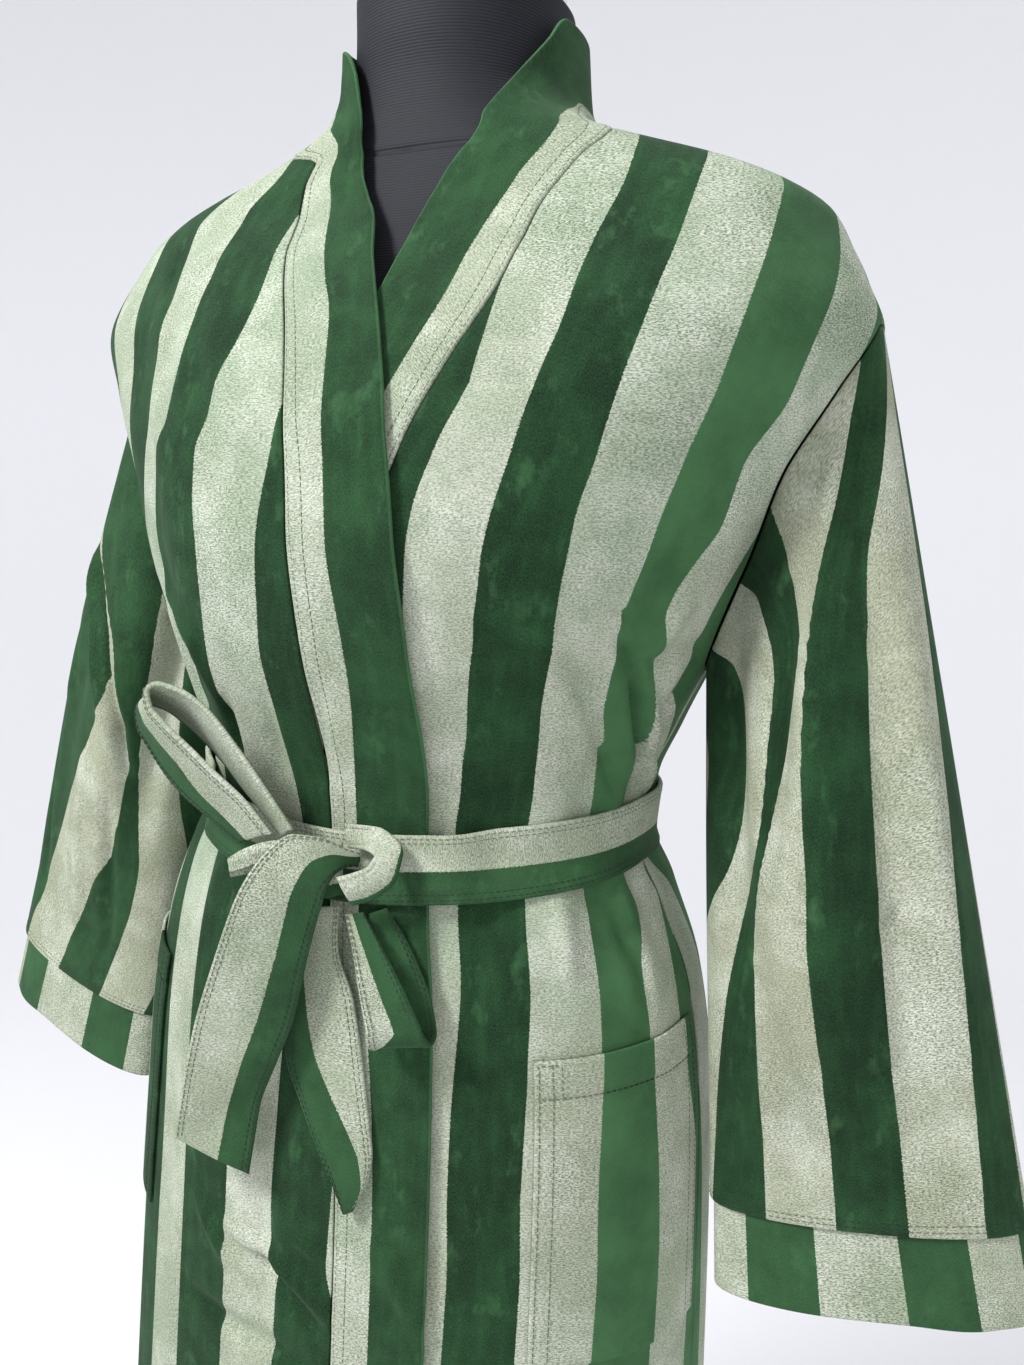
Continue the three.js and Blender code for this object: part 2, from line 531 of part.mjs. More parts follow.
// One sleeve, a tube from the armhole to its end, with soft folds.
function sleevePoint(side, around, along, off) {
  const e = side > 0 ? SLEEVE_ENDS.left : SLEEVE_ENDS.right;
  const bare = (a, t) => {
    const s = Math.sin(a * DEG);
    const c = Math.cos(a * DEG);
    const middle = (SHOULDER_POINT_Z + UNDERARM_Z) / 2;
    const half = (SHOULDER_POINT_Z - UNDERARM_Z) / 2 - SLEEVE_INSET_Z;
    const top = middle + half * c;
    const share = s > 0 ? frontShare(top) : 1;
    const reach = (s > 0 ? ARMHOLE_FRONT : ARMHOLE_BACK) - SLEEVE_INSET_ANGLE;
    const start = robe.point(side * (90 - reach * share * s), top);
    start.x *= side;
    const along = e.half * power(c, 2 / ROUNDNESS);
    const across = e.depth * power(s, 2 / ROUNDNESS);
    const turn = e.turn * DEG;
    const dx = along * Math.cos(turn) + across * Math.sin(turn);
    const dy = along * Math.sin(turn) - across * Math.cos(turn);
    const end = new THREE.Vector3(e.x + dx, e.y + dy, e.z + e.tilt * dx);
    const p = start.lerp(end, t);
    p.y -= SLEEVE_ROUND * s * Math.sin(Math.PI * Math.min(1, t * SLEEVE_FULLEST));
    return p;
  };
  const p = bare(around, along);
  const tangent = bare(around + 1, along).sub(bare(around - 1, along));
  const down = bare(around, Math.min(1, along + 0.01)).sub(bare(around, Math.max(0, along - 0.01)));
  const normal = down.cross(tangent).normalize();
  if (normal.dot(new THREE.Vector3(Math.cos(around * DEG), -Math.sin(around * DEG), 0)) < 0) normal.negate();
  let fold = 0;
  for (const f of SLEEVE_FOLDS) {
    const distance = Math.abs(((around - f.around + 540) % 360) - 180) / f.spread;
    if (distance >= 1 || along <= f.from || along >= f.to) continue;
    const run = Math.sin((Math.PI * (along - f.from)) / (f.to - f.from));
    fold += f.depth * Math.cos((distance * Math.PI) / 2) ** 2 * run;
  }
  p.addScaledVector(normal, fold + off);
  p.x *= side;
  return p;
}
const SLEEVE_AROUND = 24;
function sleeve(name, side) {
  const place = (i, j, off) => sleevePoint(side, (i * 360) / SLEEVE_AROUND, SLEEVE_COLUMNS[j], off);
  return sheet(
    name,
    SLEEVE_AROUND,
    SLEEVE_COLUMNS.length,
    (i, j) => place(i, j, 0),
    (i, j) => place(i, j, -CLOTH),
    GREEN,
    true,
  );
}

// A cuff band, sewn inside the sleeve's end and hanging below it.
function cuff(name, side) {
  const stops = [-CUFF_OVERLAP, 0, CUFF_DROP / 2, CUFF_DROP];
  const place = (i, j, off) => {
    const around = (i * 360) / SLEEVE_AROUND;
    const inset = off - CLOTH - CUFF_INSET;
    if (stops[j] <= 0) return sleevePoint(side, around, 1 + stops[j] / SLEEVE_LENGTH, inset);
    const end = sleevePoint(side, around, 1, inset);
    const before = sleevePoint(side, around, 0.96, inset);
    return end.add(end.clone().sub(before).normalize().multiplyScalar(stops[j]));
  };
  return sheet(
    name,
    SLEEVE_AROUND,
    stops.length,
    (i, j) => place(i, j, 0),
    (i, j) => place(i, j, -CLOTH),
    BEIGE,
    true,
  );
}

function pocket(name, side) {
  const place = (i, j, off) => {
    const t = i / (POCKET_COLUMNS - 1);
    const angle = side * mix(POCKET.inner, POCKET.outer, t);
    const z = mix(POCKET.mouthZ + POCKET_SLANT * t, POCKET.bottomZ, j / (POCKET_ROWS - 1));
    return robe.point(angle, z, (side < 0 ? lapLift(angle, z) : 0) + off);
  };
  return sheet(
    name,
    POCKET_COLUMNS,
    POCKET_ROWS,
    (i, j) => place(i, j, POCKET_CLEARANCE + POCKET.thickness),
    (i, j) => place(i, j, POCKET_CLEARANCE),
    GREEN,
  );
}

// The belt round the waist, over the lapped fronts.
const BELT_AROUND = 56;
const BELT_RISE = { height: 6, fromAngle: -44, toAngle: 40, overAngle: 12 };
function belt() {
  const line = track(BELT_LINE, "angle", "z");
  const place = (i, j, off) => {
    const angle = (i * 360) / BELT_AROUND - 180;
    const z = line(angle) + BELT_WIDTH * (j / 2 - 0.5);
    const rises = smooth((angle - BELT_RISE.fromAngle) / BELT_RISE.overAngle);
    const falls = smooth((BELT_RISE.toAngle - angle) / BELT_RISE.overAngle);
    return robe.point(angle, z, BELT_CLEARANCE + BELT_RISE.height * rises * falls + off);
  };
  return sheet(
    "belt",
    BELT_AROUND,
    3,
    (i, j) => place(i, j, BELT_THICKNESS),
    (i, j) => place(i, j, 0),
    BEIGE,
    true,
  );
}

// A strap of the belt, ruled between its two edges.
function strap(name, rows, thickness, colour) {
  const keyed = rows.map((row, k) => ({ ...row, k }));
  const curve = {};
  for (const column of ["ax", "ay", "az", "bx", "by", "bz"]) curve[column] = track(keyed, "k", column);
  const bare = (k, t) => new THREE.Vector3(
    mix(curve.ax(k), curve.bx(k), t),
    mix(curve.ay(k), curve.by(k), t),
    mix(curve.az(k), curve.bz(k), t),
  );
  const last = rows.length - 1;
  const place = (i, j, off) => {
    const k = j / STRAP_SPLIT;
    const t = i / (STRAP_COLUMNS - 1);
    const along = bare(Math.min(last, k + 0.05), t).sub(bare(Math.max(0, k - 0.05), t));
    const across = bare(k, 1).sub(bare(k, 0));
    return bare(k, t).addScaledVector(along.cross(across).normalize(), off);
  };
  const half = thickness / 2;
  return sheet(
    name,
    STRAP_COLUMNS,
    last * STRAP_SPLIT + 1,
    (i, j) => place(i, j, half),
    (i, j) => place(i, j, -half),
    colour,
  );
}

// The dress form: a smooth whole torso and neck.
function torso() {
  const columns = 32;
  const rows = FORM_SECTIONS.map((row) => row.z);
  const points = [];
  const faces = [];
  for (const z of rows) {
    for (let i = 0; i < columns; i += 1) points.push(form.point((i * 360) / columns, z));
  }
  const at = (i, j) => j * columns + (i % columns);
  for (let j = 0; j < rows.length - 1; j += 1) {
    for (let i = 0; i < columns; i += 1) {
      faces.push(at(i, j), at(i + 1, j), at(i + 1, j + 1), at(i, j), at(i + 1, j + 1), at(i, j + 1));
    }
  }
  points.push(new THREE.Vector3(0, 0, FORM_BOTTOM_Z), new THREE.Vector3(0, 0, NECK_TOP_Z));
  const [low, high] = [points.length - 2, points.length - 1];
  for (let i = 0; i < columns; i += 1) {
    faces.push(low, at(i + 1, 0), at(i, 0));
    faces.push(high, at(i, rows.length - 1), at(i + 1, rows.length - 1));
  }
  return solid("dress_form", points, faces, FORM_BLACK);
}

const group = new THREE.Group();
group.name = "kimono_robe";
group.add(
  torso(),
  turned(
    "neck_cap",
    [
      [CAP_RADIUS, NECK_TOP_Z + PART_GAP],
      [CAP_RADIUS, NECK_TOP_Z + CAP_HEIGHT - 4],
      [CAP_RADIUS - 4, NECK_TOP_Z + CAP_HEIGHT],
    ],
    40,
    CHROME,
    1,
  ),
  turned(
    "pole",
    [
      [POLE_RADIUS, BASE_HEIGHT + SOCKET_HEIGHT + PART_GAP],
      [POLE_RADIUS, FORM_BOTTOM_Z - PART_GAP],
    ],
    24,
    CHROME,
    1,
  ),
  turned(
    "base",
    [
      [BASE_RADIUS, 0],
      [BASE_RADIUS, BASE_HEIGHT - 6],
      [BASE_RADIUS - 8, BASE_HEIGHT],
      [SOCKET_RADIUS, BASE_HEIGHT],
      [SOCKET_RADIUS, BASE_HEIGHT + SOCKET_HEIGHT - 3],
      [SOCKET_RADIUS - 3, BASE_HEIGHT + SOCKET_HEIGHT],
    ],
    36,
    CHROME,
    1,
  ),
  back(),
  front("front_left", LEFT_BAND, 1, BEIGE),
  front("front_right", RIGHT_BAND, -1, GREEN),
  band("band_left", LEFT_BAND, false),
  band("band_right", RIGHT_BAND, true),
  sleeve("sleeve_left", 1),
  sleeve("sleeve_right", -1),
  cuff("cuff_left", 1),
  cuff("cuff_right", -1),
  pocket("pocket_left", 1),
  pocket("pocket_right", -1),
  belt(),
  strap("knot_core", KNOT_CORE, KNOT_THICKNESS, BEIGE),
  strap("knot_wrap", KNOT_WRAP, BELT_THICKNESS, BEIGE),
  strap("knot_roll", KNOT_ROLL, ROLL_THICKNESS, BEIGE),
  strap("loop_upper", LOOP_UPPER, BELT_THICKNESS, BEIGE),
  strap("loop_lower", LOOP_LOWER, BELT_THICKNESS, GREEN),
  strap("tail_front", TAIL_FRONT, BELT_THICKNESS, BEIGE),
  strap("tail_back", TAIL_BACK, BELT_THICKNESS, GREEN),
);

export default group;
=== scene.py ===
import math

import bpy
import numpy as np
from mathutils import Matrix


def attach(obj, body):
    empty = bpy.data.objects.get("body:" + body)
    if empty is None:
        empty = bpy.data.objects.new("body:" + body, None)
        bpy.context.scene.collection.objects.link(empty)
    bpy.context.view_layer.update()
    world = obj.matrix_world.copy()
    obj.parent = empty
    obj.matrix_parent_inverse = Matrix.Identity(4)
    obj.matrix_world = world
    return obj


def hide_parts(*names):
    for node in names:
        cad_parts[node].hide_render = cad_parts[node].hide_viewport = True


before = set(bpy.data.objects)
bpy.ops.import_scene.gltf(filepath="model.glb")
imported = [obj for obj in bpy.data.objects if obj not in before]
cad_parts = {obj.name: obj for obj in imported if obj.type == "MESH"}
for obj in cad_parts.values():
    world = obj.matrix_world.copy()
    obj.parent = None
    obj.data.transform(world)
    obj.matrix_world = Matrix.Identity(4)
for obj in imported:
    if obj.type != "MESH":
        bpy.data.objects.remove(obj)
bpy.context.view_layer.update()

MM = 0.001

# The photograph's camera, fitted to the robe's outline: place in metres, angles in radians,
# focal length in pixels.
EYE = (0.339113, -0.568579, 1.193768)
YAW, PITCH, ROLL = 0.465389, 0.123820, 0.055812
FOCAL_PX = 1055.4
PHOTO_HEIGHT = 1365
SENSOR_MM = 36.0


def photo_camera():
    forward = np.array([-math.sin(YAW) * math.cos(PITCH), math.cos(YAW) * math.cos(PITCH),
        -math.sin(PITCH)])
    level = np.array([math.cos(YAW), math.sin(YAW), 0.0])
    upright = np.cross(level, forward)
    right = level * math.cos(ROLL) + upright * math.sin(ROLL)
    up = upright * math.cos(ROLL) - level * math.sin(ROLL)
    data = bpy.data.cameras.new("photo_camera")
    data.sensor_width = SENSOR_MM
    data.lens = FOCAL_PX / PHOTO_HEIGHT * SENSOR_MM
    data.clip_start, data.clip_end = 0.02, 60
    camera = bpy.data.objects.new("photo_camera", data)
    bpy.context.collection.objects.link(camera)
    rows = [(right[i], up[i], -forward[i], EYE[i]) for i in range(3)]
    camera.matrix_world = Matrix(rows + [(0, 0, 0, 1)])
    bpy.context.scene.camera = camera


photo_camera()
bpy.context.scene.view_settings.view_transform = "Standard"

CLOTH = 1.8
BAND = 3.0
BAND_RISE = 0.6
SEAM_GAP = 0.5
LAP_LIFT = 4.8
BELT_WIDTH = 39.0
BELT_THICKNESS = 3.0
BELT_CLEARANCE = 1.4
CUFF_DROP = 48.0
CUFF_OVERLAP = 14.0
SLEEVE_LENGTH = 430.0
UNDERARM_Z = 1135.0
SHOULDER_POINT_Z = 1317.0
ROUNDNESS = 2.25
ARMHOLE_FRONT = 11.0
ARMHOLE_BACK = 12.0
SLEEVE_ROUND = 24.0
DEG = math.pi / 180

# Horizontal sections of the robe's outer face: z, half width, front, back, centre x, centre y.
ROBE_SECTIONS = np.array([
    (200, 214, 146, 158, 0, 4), (500, 204, 138, 148, 0, 4), (700, 198, 133, 144, 0, 4),
    (830, 192, 129, 141, 0, 4), (900, 187, 126, 134, 0, 3), (950, 178, 121, 124, 0, 2),
    (1000, 158, 113, 110, 0, 0), (1035, 143, 106, 101, -2, 0), (1060, 144, 109, 102, -1, 0),
    (1100, 158, 122, 106, 0, 0), (1150, 176, 141, 112, 4, 0), (1200, 194, 151, 117, 7, 0),
    (1240, 210, 150, 120, 8, 0), (1280, 231, 140, 121, 7, 0), (1317, 247, 122, 118, 3, 0),
    (1340, 240, 107, 112, 0, 0), (1355, 232, 98, 107, 0, 0), (1372, 222, 88, 100, 0, 0),
    (1386, 202, 81, 93, 0, 0), (1396, 178, 77, 88, 2, 0), (1404, 152, 74, 84, 4, 0),
    (1412, 126, 72, 81, 4, 0), (1420, 101, 71, 78, 4, 0), (1432, 81, 69, 75, 4, 0),
    (1450, 72, 68, 72, 3, 0), (1490, 69, 68, 70, 1, 0),
], float)

# Sections across each band: seam angle, seam z, free angle, free z.
LEFT_BAND = np.array([
    (-6, 200, -22, 200), (-4, 850, -20.5, 850), (-3, 1000, -20.5, 1000), (-1, 1060, -20, 1062),
    (3, 1130, -13, 1138), (7.3, 1180, -7.5, 1196), (11.2, 1224, -1.8, 1250), (15.5, 1281, 4.5, 1317),
    (20.5, 1340, 7.5, 1374), (23.5, 1368, 11, 1395), (31.5, 1390, 22, 1416), (44, 1403, 36, 1431),
    (60, 1413, 52, 1448), (76, 1424, 68, 1467), (92, 1434, 84, 1485), (120, 1434, 116, 1487),
    (150, 1434, 148, 1487), (179.8, 1434, 179.8, 1487),
], float)
RIGHT_BAND = np.array([
    (9, 200, 24, 200), (6.5, 850, 22.5, 850), (3, 980, 22.2, 984), (1.5, 1053, 22.8, 1056),
    (0.3, 1130, 18.2, 1136), (-0.5, 1190, 14, 1200), (-1.5, 1240, 9.8, 1258), (-3.5, 1292, 5.3, 1310),
    (-7, 1339, 1, 1362), (-10, 1370, -3.5, 1393), (-17.5, 1402, -12, 1418), (-38, 1412, -22, 1436),
    (-62, 1422, -36, 1463), (-90, 1434, -74, 1480), (-120, 1434, -112, 1486), (-150, 1434, -148, 1487),
    (-179.8, 1434, -179.8, 1487),
], float)


def track(x, y):
    """A smooth curve through a table's column."""
    x = np.asarray(x, float)
    y = np.asarray(y, float)
    secant = np.diff(y) / np.diff(x)
    slope = np.empty_like(y)
    slope[0], slope[-1] = secant[0], secant[-1]
    product = secant[:-1] * secant[1:]
    total = secant[:-1] + secant[1:]
    slope[1:-1] = np.where(product <= 0, 0, 2 * product / np.where(total == 0, 1, total))

    def curve(at):
        at = np.asarray(at, float)
        i = np.clip(np.searchsorted(x, at, side="left") - 1, 0, len(x) - 2)
        h = x[i + 1] - x[i]
        t = np.clip((at - x[i]) / h, 0, 1)
        u = 1 - t
        return (
            y[i] * (1 + 2 * t) * u * u
            + y[i + 1] * t * t * (3 - 2 * t)
            + h * t * u * (slope[i] * u - slope[i + 1] * t)
        )

    return curve


def smooth(t):
    c = np.clip(t, 0, 1)
    return c * c * (3 - 2 * c)


def mix(a, b, t):
    return a + (b - a) * t


def power(v, p):
    return np.sign(v) * np.abs(v) ** p


half_width, front_depth, back_depth, centre_x, centre_y = (
    track(ROBE_SECTIONS[:, 0], ROBE_SECTIONS[:, k]) for k in (1, 2, 3, 4, 5)
)


def bare_body(angle, z):
    s, c = np.sin(angle * DEG), np.cos(angle * DEG)
    depth = np.where(c > 0, front_depth(z), back_depth(z))
    x = centre_x(z) + half_width(z) * power(s, 2 / ROUNDNESS)
    y = centre_y(z) - depth * power(c, 2 / ROUNDNESS)
    return np.stack([x, y, z + 0 * x], -1)


def unit(v):
    return v / np.maximum(np.linalg.norm(v, axis=-1, keepdims=True), 1e-9)


def body_normal(angle, z):
    around = bare_body(angle + 0.2, z) - bare_body(angle - 0.2, z)
    up = bare_body(angle, z + 0.5) - bare_body(angle, z - 0.5)
    return unit(np.cross(around, up))


def body_point(angle, z, off):
    return bare_body(angle, z) + body_normal(angle, z) * np.asarray(off)[..., None]


def side_gap(z, is_front):
    depth = front_depth(z) if is_front else back_depth(z)
    return 90 - np.arccos((SEAM_GAP / 2 / depth) ** (ROUNDNESS / 2)) / DEG


def lap_lift(angle, z):
    return LAP_LIFT * smooth((angle + 34) / 9) * smooth((1378 - z) / 40)


def front_share(z):
    """How much of its full reach the armhole's front keeps at a height."""
    return mix(0.62, 1, smooth((z - 1190) / 55))


def armhole(z, reach):
    middle = (SHOULDER_POINT_Z + UNDERARM_Z) / 2
    half = (SHOULDER_POINT_Z - UNDERARM_Z) / 2
    t = (z - middle) / half
    return reach * np.sqrt(np.clip(1 - t * t, 0, None))


class Band:
    def __init__(self, rows):
        k = np.arange(len(rows))
        self.last = len(rows) - 1
        self.neck = int(np.argmax(rows[:, 1] > 1432))
        self.seam_angle, self.seam_z, self.free_angle, self.free_z = (track(k,
            rows[:, n]) for n in range(4))

    def place_at(self, z):
        low, high = np.zeros_like(z), np.full_like(z, self.neck)
        for _ in range(40):
            middle = (low + high) / 2
            below = self.seam_z(middle) < z
            low, high = np.where(below, middle, low), np.where(below, high, middle)
        return low


band_left, band_right = Band(LEFT_BAND), Band(RIGHT_BAND)

SLEEVE_END = dict(side=1, x=284, y=-8, z=857, half=80, depth=25, turn=8, tilt=0.16)
# Soft folds of a sleeve: place round it in degrees, from, to, half width, depth.
SLEEVE_FOLDS = ((128, 0, 0.62, 20, -9), (100, 0.03, 0.9, 24, 8), (60, 0.1, 1, 22, -5),
    (250, 0.1, 1, 30, 6))


def bare_sleeve(around, along):
    e = SLEEVE_END
    s, c = np.sin(around * DEG), np.cos(around * DEG)
    middle = (SHOULDER_POINT_Z + UNDERARM_Z) / 2
    half = (SHOULDER_POINT_Z - UNDERARM_Z) / 2 - 1.2
    top = middle + half * c
    reach = (np.where(s > 0, ARMHOLE_FRONT, ARMHOLE_BACK) - 0.5) * np.where(s > 0, front_share(top), 1)
    start = bare_body(e["side"] * (90 - reach * s), top)
    start[..., 0] *= e["side"]
    length = e["half"] * power(c, 2 / ROUNDNESS)
    across = e["depth"] * power(s, 2 / ROUNDNESS)
    turn = e["turn"] * DEG
    dx = length * math.cos(turn) + across * math.sin(turn)
    dy = length * math.sin(turn) - across * math.cos(turn)
    end = np.stack([e["x"] + dx, e["y"] + dy, e["z"] + e["tilt"] * dx], -1)
    p = start + (end - start) * np.asarray(along)[..., None]
    p[..., 1] -= SLEEVE_ROUND * s * np.sin(math.pi * np.minimum(1, along * 1.15)) * 0.8
    return p


def sleeve_point(around, along, off):
    """A point of the left sleeve; the right one is its mirror image."""
    around, along = np.broadcast_arrays(np.asarray(around, float), np.asarray(along, float))
    p = bare_sleeve(around, along)
    tangent = bare_sleeve(around + 1, along) - bare_sleeve(around - 1, along)
    down = bare_sleeve(around, np.minimum(1, along + 0.01)) - bare_sleeve(around,
        np.maximum(0, along - 0.01))
    normal = unit(np.cross(down, tangent))
    out = np.stack([np.cos(around * DEG), -np.sin(around * DEG), 0 * around], -1)
    normal = np.where((normal * out).sum(-1, keepdims=True) < 0, -normal, normal)
    fold = np.zeros_like(p[..., 0])
    for place, start, stop, spread, depth in SLEEVE_FOLDS:
        distance = np.abs((around - place + 540) % 360 - 180) / spread
        run = np.sin(math.pi * np.clip((along - start) / (stop - start), 0, 1))
        fold += depth * np.cos(np.minimum(1, distance) * math.pi / 2) ** 2 * run
    return p + normal * (fold + off)[..., None]


# Shells.
EDGE_STEPS = np.array([0, 0.1, 0.35, 1.0])


def edged(low, high, count, rim):
    """Places from low to high, with closer ones beside both ends; rim is the rounded edge's width."""
    way = 1 if high > low else -1
    near = low + way * rim * EDGE_STEPS
    far = high - way * rim * EDGE_STEPS[::-1]
    return np.concatenate([near, np.linspace(near[-1], far[0], count)[1:-1], far])


def grid_normals(mid, wrap):
    if wrap:
        around = np.roll(mid, -1, 1) - np.roll(mid, 1, 1)
    else:
        around = np.gradient(mid, axis=1)
    return unit(np.cross(around, np.gradient(mid, axis=0)))


def edge_distance(mid, wrap):
    steps = np.linalg.norm(np.diff(mid, axis=0), axis=-1)
    run = np.concatenate([np.zeros((1, mid.shape[1])), np.cumsum(steps, 0)])
    distance = np.minimum(run, run[-1] - run)
    if not wrap:
        steps = np.linalg.norm(np.diff(mid, axis=1), axis=-1)
        run = np.concatenate([np.zeros((mid.shape[0], 1)), np.cumsum(steps, 1)], 1)
        distance = np.minimum(distance, np.minimum(run, run[:, -1:] - run))
    return distance


def shell(name, mid, thickness, facts, outside, wrap=False):
    """A closed thin sheet about a grid of middle points in millimetres, with rounded edges.

    outside is the sign that turns the grid's normal outward, and facts are the point values given
    to both faces.
    """
    rows, columns = mid.shape[:2]
    normal = grid_normals(mid, wrap) * outside
    radius = np.asarray(thickness) / 2 + np.zeros((rows, columns))
    inset = np.clip(edge_distance(mid, wrap) / radius, 0, 1)
    half = radius * np.sqrt(np.clip(1 - (1 - inset) ** 2, 0, 1))
    border = inset <= 0
    front = (mid + normal * half[..., None]).reshape(-1, 3)
    rear = (mid - normal * half[..., None]).reshape(-1, 3)
    front_index = np.arange(rows * columns).reshape(rows, columns)
    inner = ~border.ravel()
    rear_index = front_index.copy().ravel()
    rear_index[inner] = rows * columns + np.arange(inner.sum())
    rear_index = rear_index.reshape(rows, columns)
    points = np.concatenate([front, rear[inner]])

    def quads(index, turned):
        nxt = np.roll(index, -1, 1) if wrap else index[:, 1:]
        here = index if wrap else index[:, :-1]
        q = np.stack([here[:-1], nxt[:-1], nxt[1:], here[1:]], -1).reshape(-1, 4)
        return q[:, ::-1] if turned else q

    turn = outside < 0
    faces = np.concatenate([quads(front_index, turn), quads(rear_index, not turn)])
    obj = mesh_object(name, points, faces)
    for key, values in facts.items():
        values = np.asarray(values, float)
        flat = values.reshape(rows * columns, -1)
        both = np.concatenate([flat, flat[inner]])
        kind = "FLOAT" if both.shape[1] == 1 else "FLOAT_VECTOR"
        layer = obj.data.attributes.new(key, kind, "POINT")
        layer.data.foreach_set("value" if kind == "FLOAT" else "vector", both.astype(np.float32).ravel())
    return obj


def mesh_object(name, points, faces):
    mesh = bpy.data.meshes.new(name)
    count = len(faces)
    sides = faces.shape[1]
    mesh.vertices.add(len(points))
    mesh.vertices.foreach_set("co", (points * MM).astype(np.float32).ravel())
    mesh.loops.add(count * sides)
    mesh.loops.foreach_set("vertex_index", faces.astype(np.int32).ravel())
    mesh.polygons.add(count)
    mesh.polygons.foreach_set("loop_start", (np.arange(count) * sides).astype(np.int32))
    mesh.polygons.foreach_set("use_smooth", np.ones(count, bool))
    mesh.update(calc_edges=True)
    mesh.validate()
    obj = bpy.data.objects.new(name, mesh)
    bpy.context.collection.objects.link(obj)
    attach(obj, "root")
    return obj


# Stripes.
STRIPE_PITCH = 40.0


def stripe_place(u, bounds):
    """Which stripe a place lies in, counted in stripes.

    It is worked out from the distance u across them and the stripes' bounds.
    """
    bounds = np.stack(bounds, -1)
    last = bounds.shape[-1] - 1
    cell = (u[..., None] > bounds).sum(-1) - 1
    low = np.take_along_axis(bounds, np.clip(cell, 0, last)[..., None], -1)[..., 0]
    high = np.take_along_axis(bounds, np.clip(cell + 1, 0, last)[..., None], -1)[..., 0]
    width = np.where((cell < 0) | (cell >= last), STRIPE_PITCH, np.maximum(high - low, 0.5))
    first = bounds[..., 0]
    return np.where(cell < 0, (u - first) / STRIPE_PITCH, np.clip(cell, 0, last) + (u - low) / width)


# Bounds of the stripes on each front, in millimetres round from the middle of the front, hem first.
LEFT_STRIPES = np.array([
    # z, b0, b1, b2, b3, b4, b5
    (200, 50, 92, 134, 175, 216, 257), (802, 51, 93, 132, 173, 212, 251),
    (857, 50, 90, 129, 170, 208, 246),
    (915, 51, 89, 128, 168, 200, 230), (929, 51, 89, 127, 167, 198, 228),
    (961, 50, 88, 125, 163, 194, 223),
    (1003, 44, 81, 117, 153, 186, 214), (1018, 40, 78, 114, 149, 177, 203),
    (1042, 36, 74, 112, 149, 177, 204),
    (1068, 40, 78, 116, 153, 184, 212), (1084, 43, 81, 119, 155, 187, 215),
    (1098, 46, 85, 122, 161, 189, 218),
    (1114, 51, 88, 125, 160, 190, 221), (1132, 57, 92, 130, 164, 192, 224),
    (1148, 62, 96, 134, 169, 195, 228),
    (1162, 63, 98, 137, 171, 196, 232), (1176, 65, 101, 140, 176, 202, 240),
    (1194, 67, 104, 144, 183, 214, 252),
    (1212, 70, 108, 147, 188, 226, 262),
    (1240, 80, 116, 155, 197, 231, 270), (1272, 92, 123, 161, 206, 247, 287),
    (1300, 94, 129, 166, 210, 250, 290),
    (1338, 94, 131, 170, 213, 254, 294), (1380, 94, 137, 172, 214, 254, 294),
    (1432, 94, 134, 174, 214, 254, 294),
], float)
RIGHT_STRIPES = np.array([
    (200, 8, 48, 88, 128, 168), (771, 8, 47, 87, 127, 167), (800, 15, 48, 87, 126, 165),
    (900, 12, 49, 88, 127, 166),
    (1000, 10, 50, 88, 128, 166), (1040, 15, 54, 92, 130, 168), (1090, 22, 62, 98, 138, 176),
    (1128, 24, 68, 101, 145, 184), (1159, 20, 64, 110, 150, 188), (1190, 16, 61, 117, 148, 186),
    (1210, 13, 63, 115, 140, 178), (1235, 8, 62, 105, 128, 166), (1254, 5, 53, 92, 119, 158),
    (1283, 0, 46, 87, 112, 150), (1315, 0, 42, 86, 121, 160), (1345, 0, 47, 90, 130, 170),
    (1376, 0, 48, 92, 137, 177), (1400, -2, 42, 77, 118, 158), (1432, -2, 38, 77, 118, 158),
], float)


def front_stripes(u, z, side):
    table = LEFT_STRIPES if side > 0 else RIGHT_STRIPES
    curves = [track(table[:, 0], table[:, k]) for k in range(1, table.shape[1])]
    return stripe_place((u + centre_x(z)) * side, [curve(z) for curve in curves])


ARC_Z = np.arange(195.0, 1500.0, 5.0)
ARC_ANGLE = np.arange(0.0, 181.0, 1.0)


def arc_table():
    angle, z = np.meshgrid(ARC_ANGLE, ARC_Z)
    path = bare_body(angle, z)
    steps = np.linalg.norm(np.diff(path, axis=1), axis=-1)
    return np.concatenate([np.zeros((len(ARC_Z), 1)), np.cumsum(steps, 1)], 1)


ARC = arc_table()


def arc_at(angle, z):
    """Length round the front from the middle to an angle."""
    angle, z = np.broadcast_arrays(np.asarray(angle, float), np.asarray(z, float))
    row = np.clip((z - ARC_Z[0]) / 5.0, 0, len(ARC_Z) - 1.001)
    column = np.clip(np.abs(angle), 0, 179.999)
    i, j = row.astype(int), column.astype(int)
    a, b = row - i, column - j
    value = (ARC[i, j] * (1 - b) + ARC[i, j + 1] * b) * (1 - a) + (ARC[i + 1, j] * (1 - b) + ARC[i + 1,
        j + 1] * b) * a
    return np.sign(angle) * value


# Creases.
def groove(distance, place, spread):
    """How much of a sewn channel's depth is reached at a distance from the edge."""
    return np.exp(-(((distance - place) / spread) ** 2))


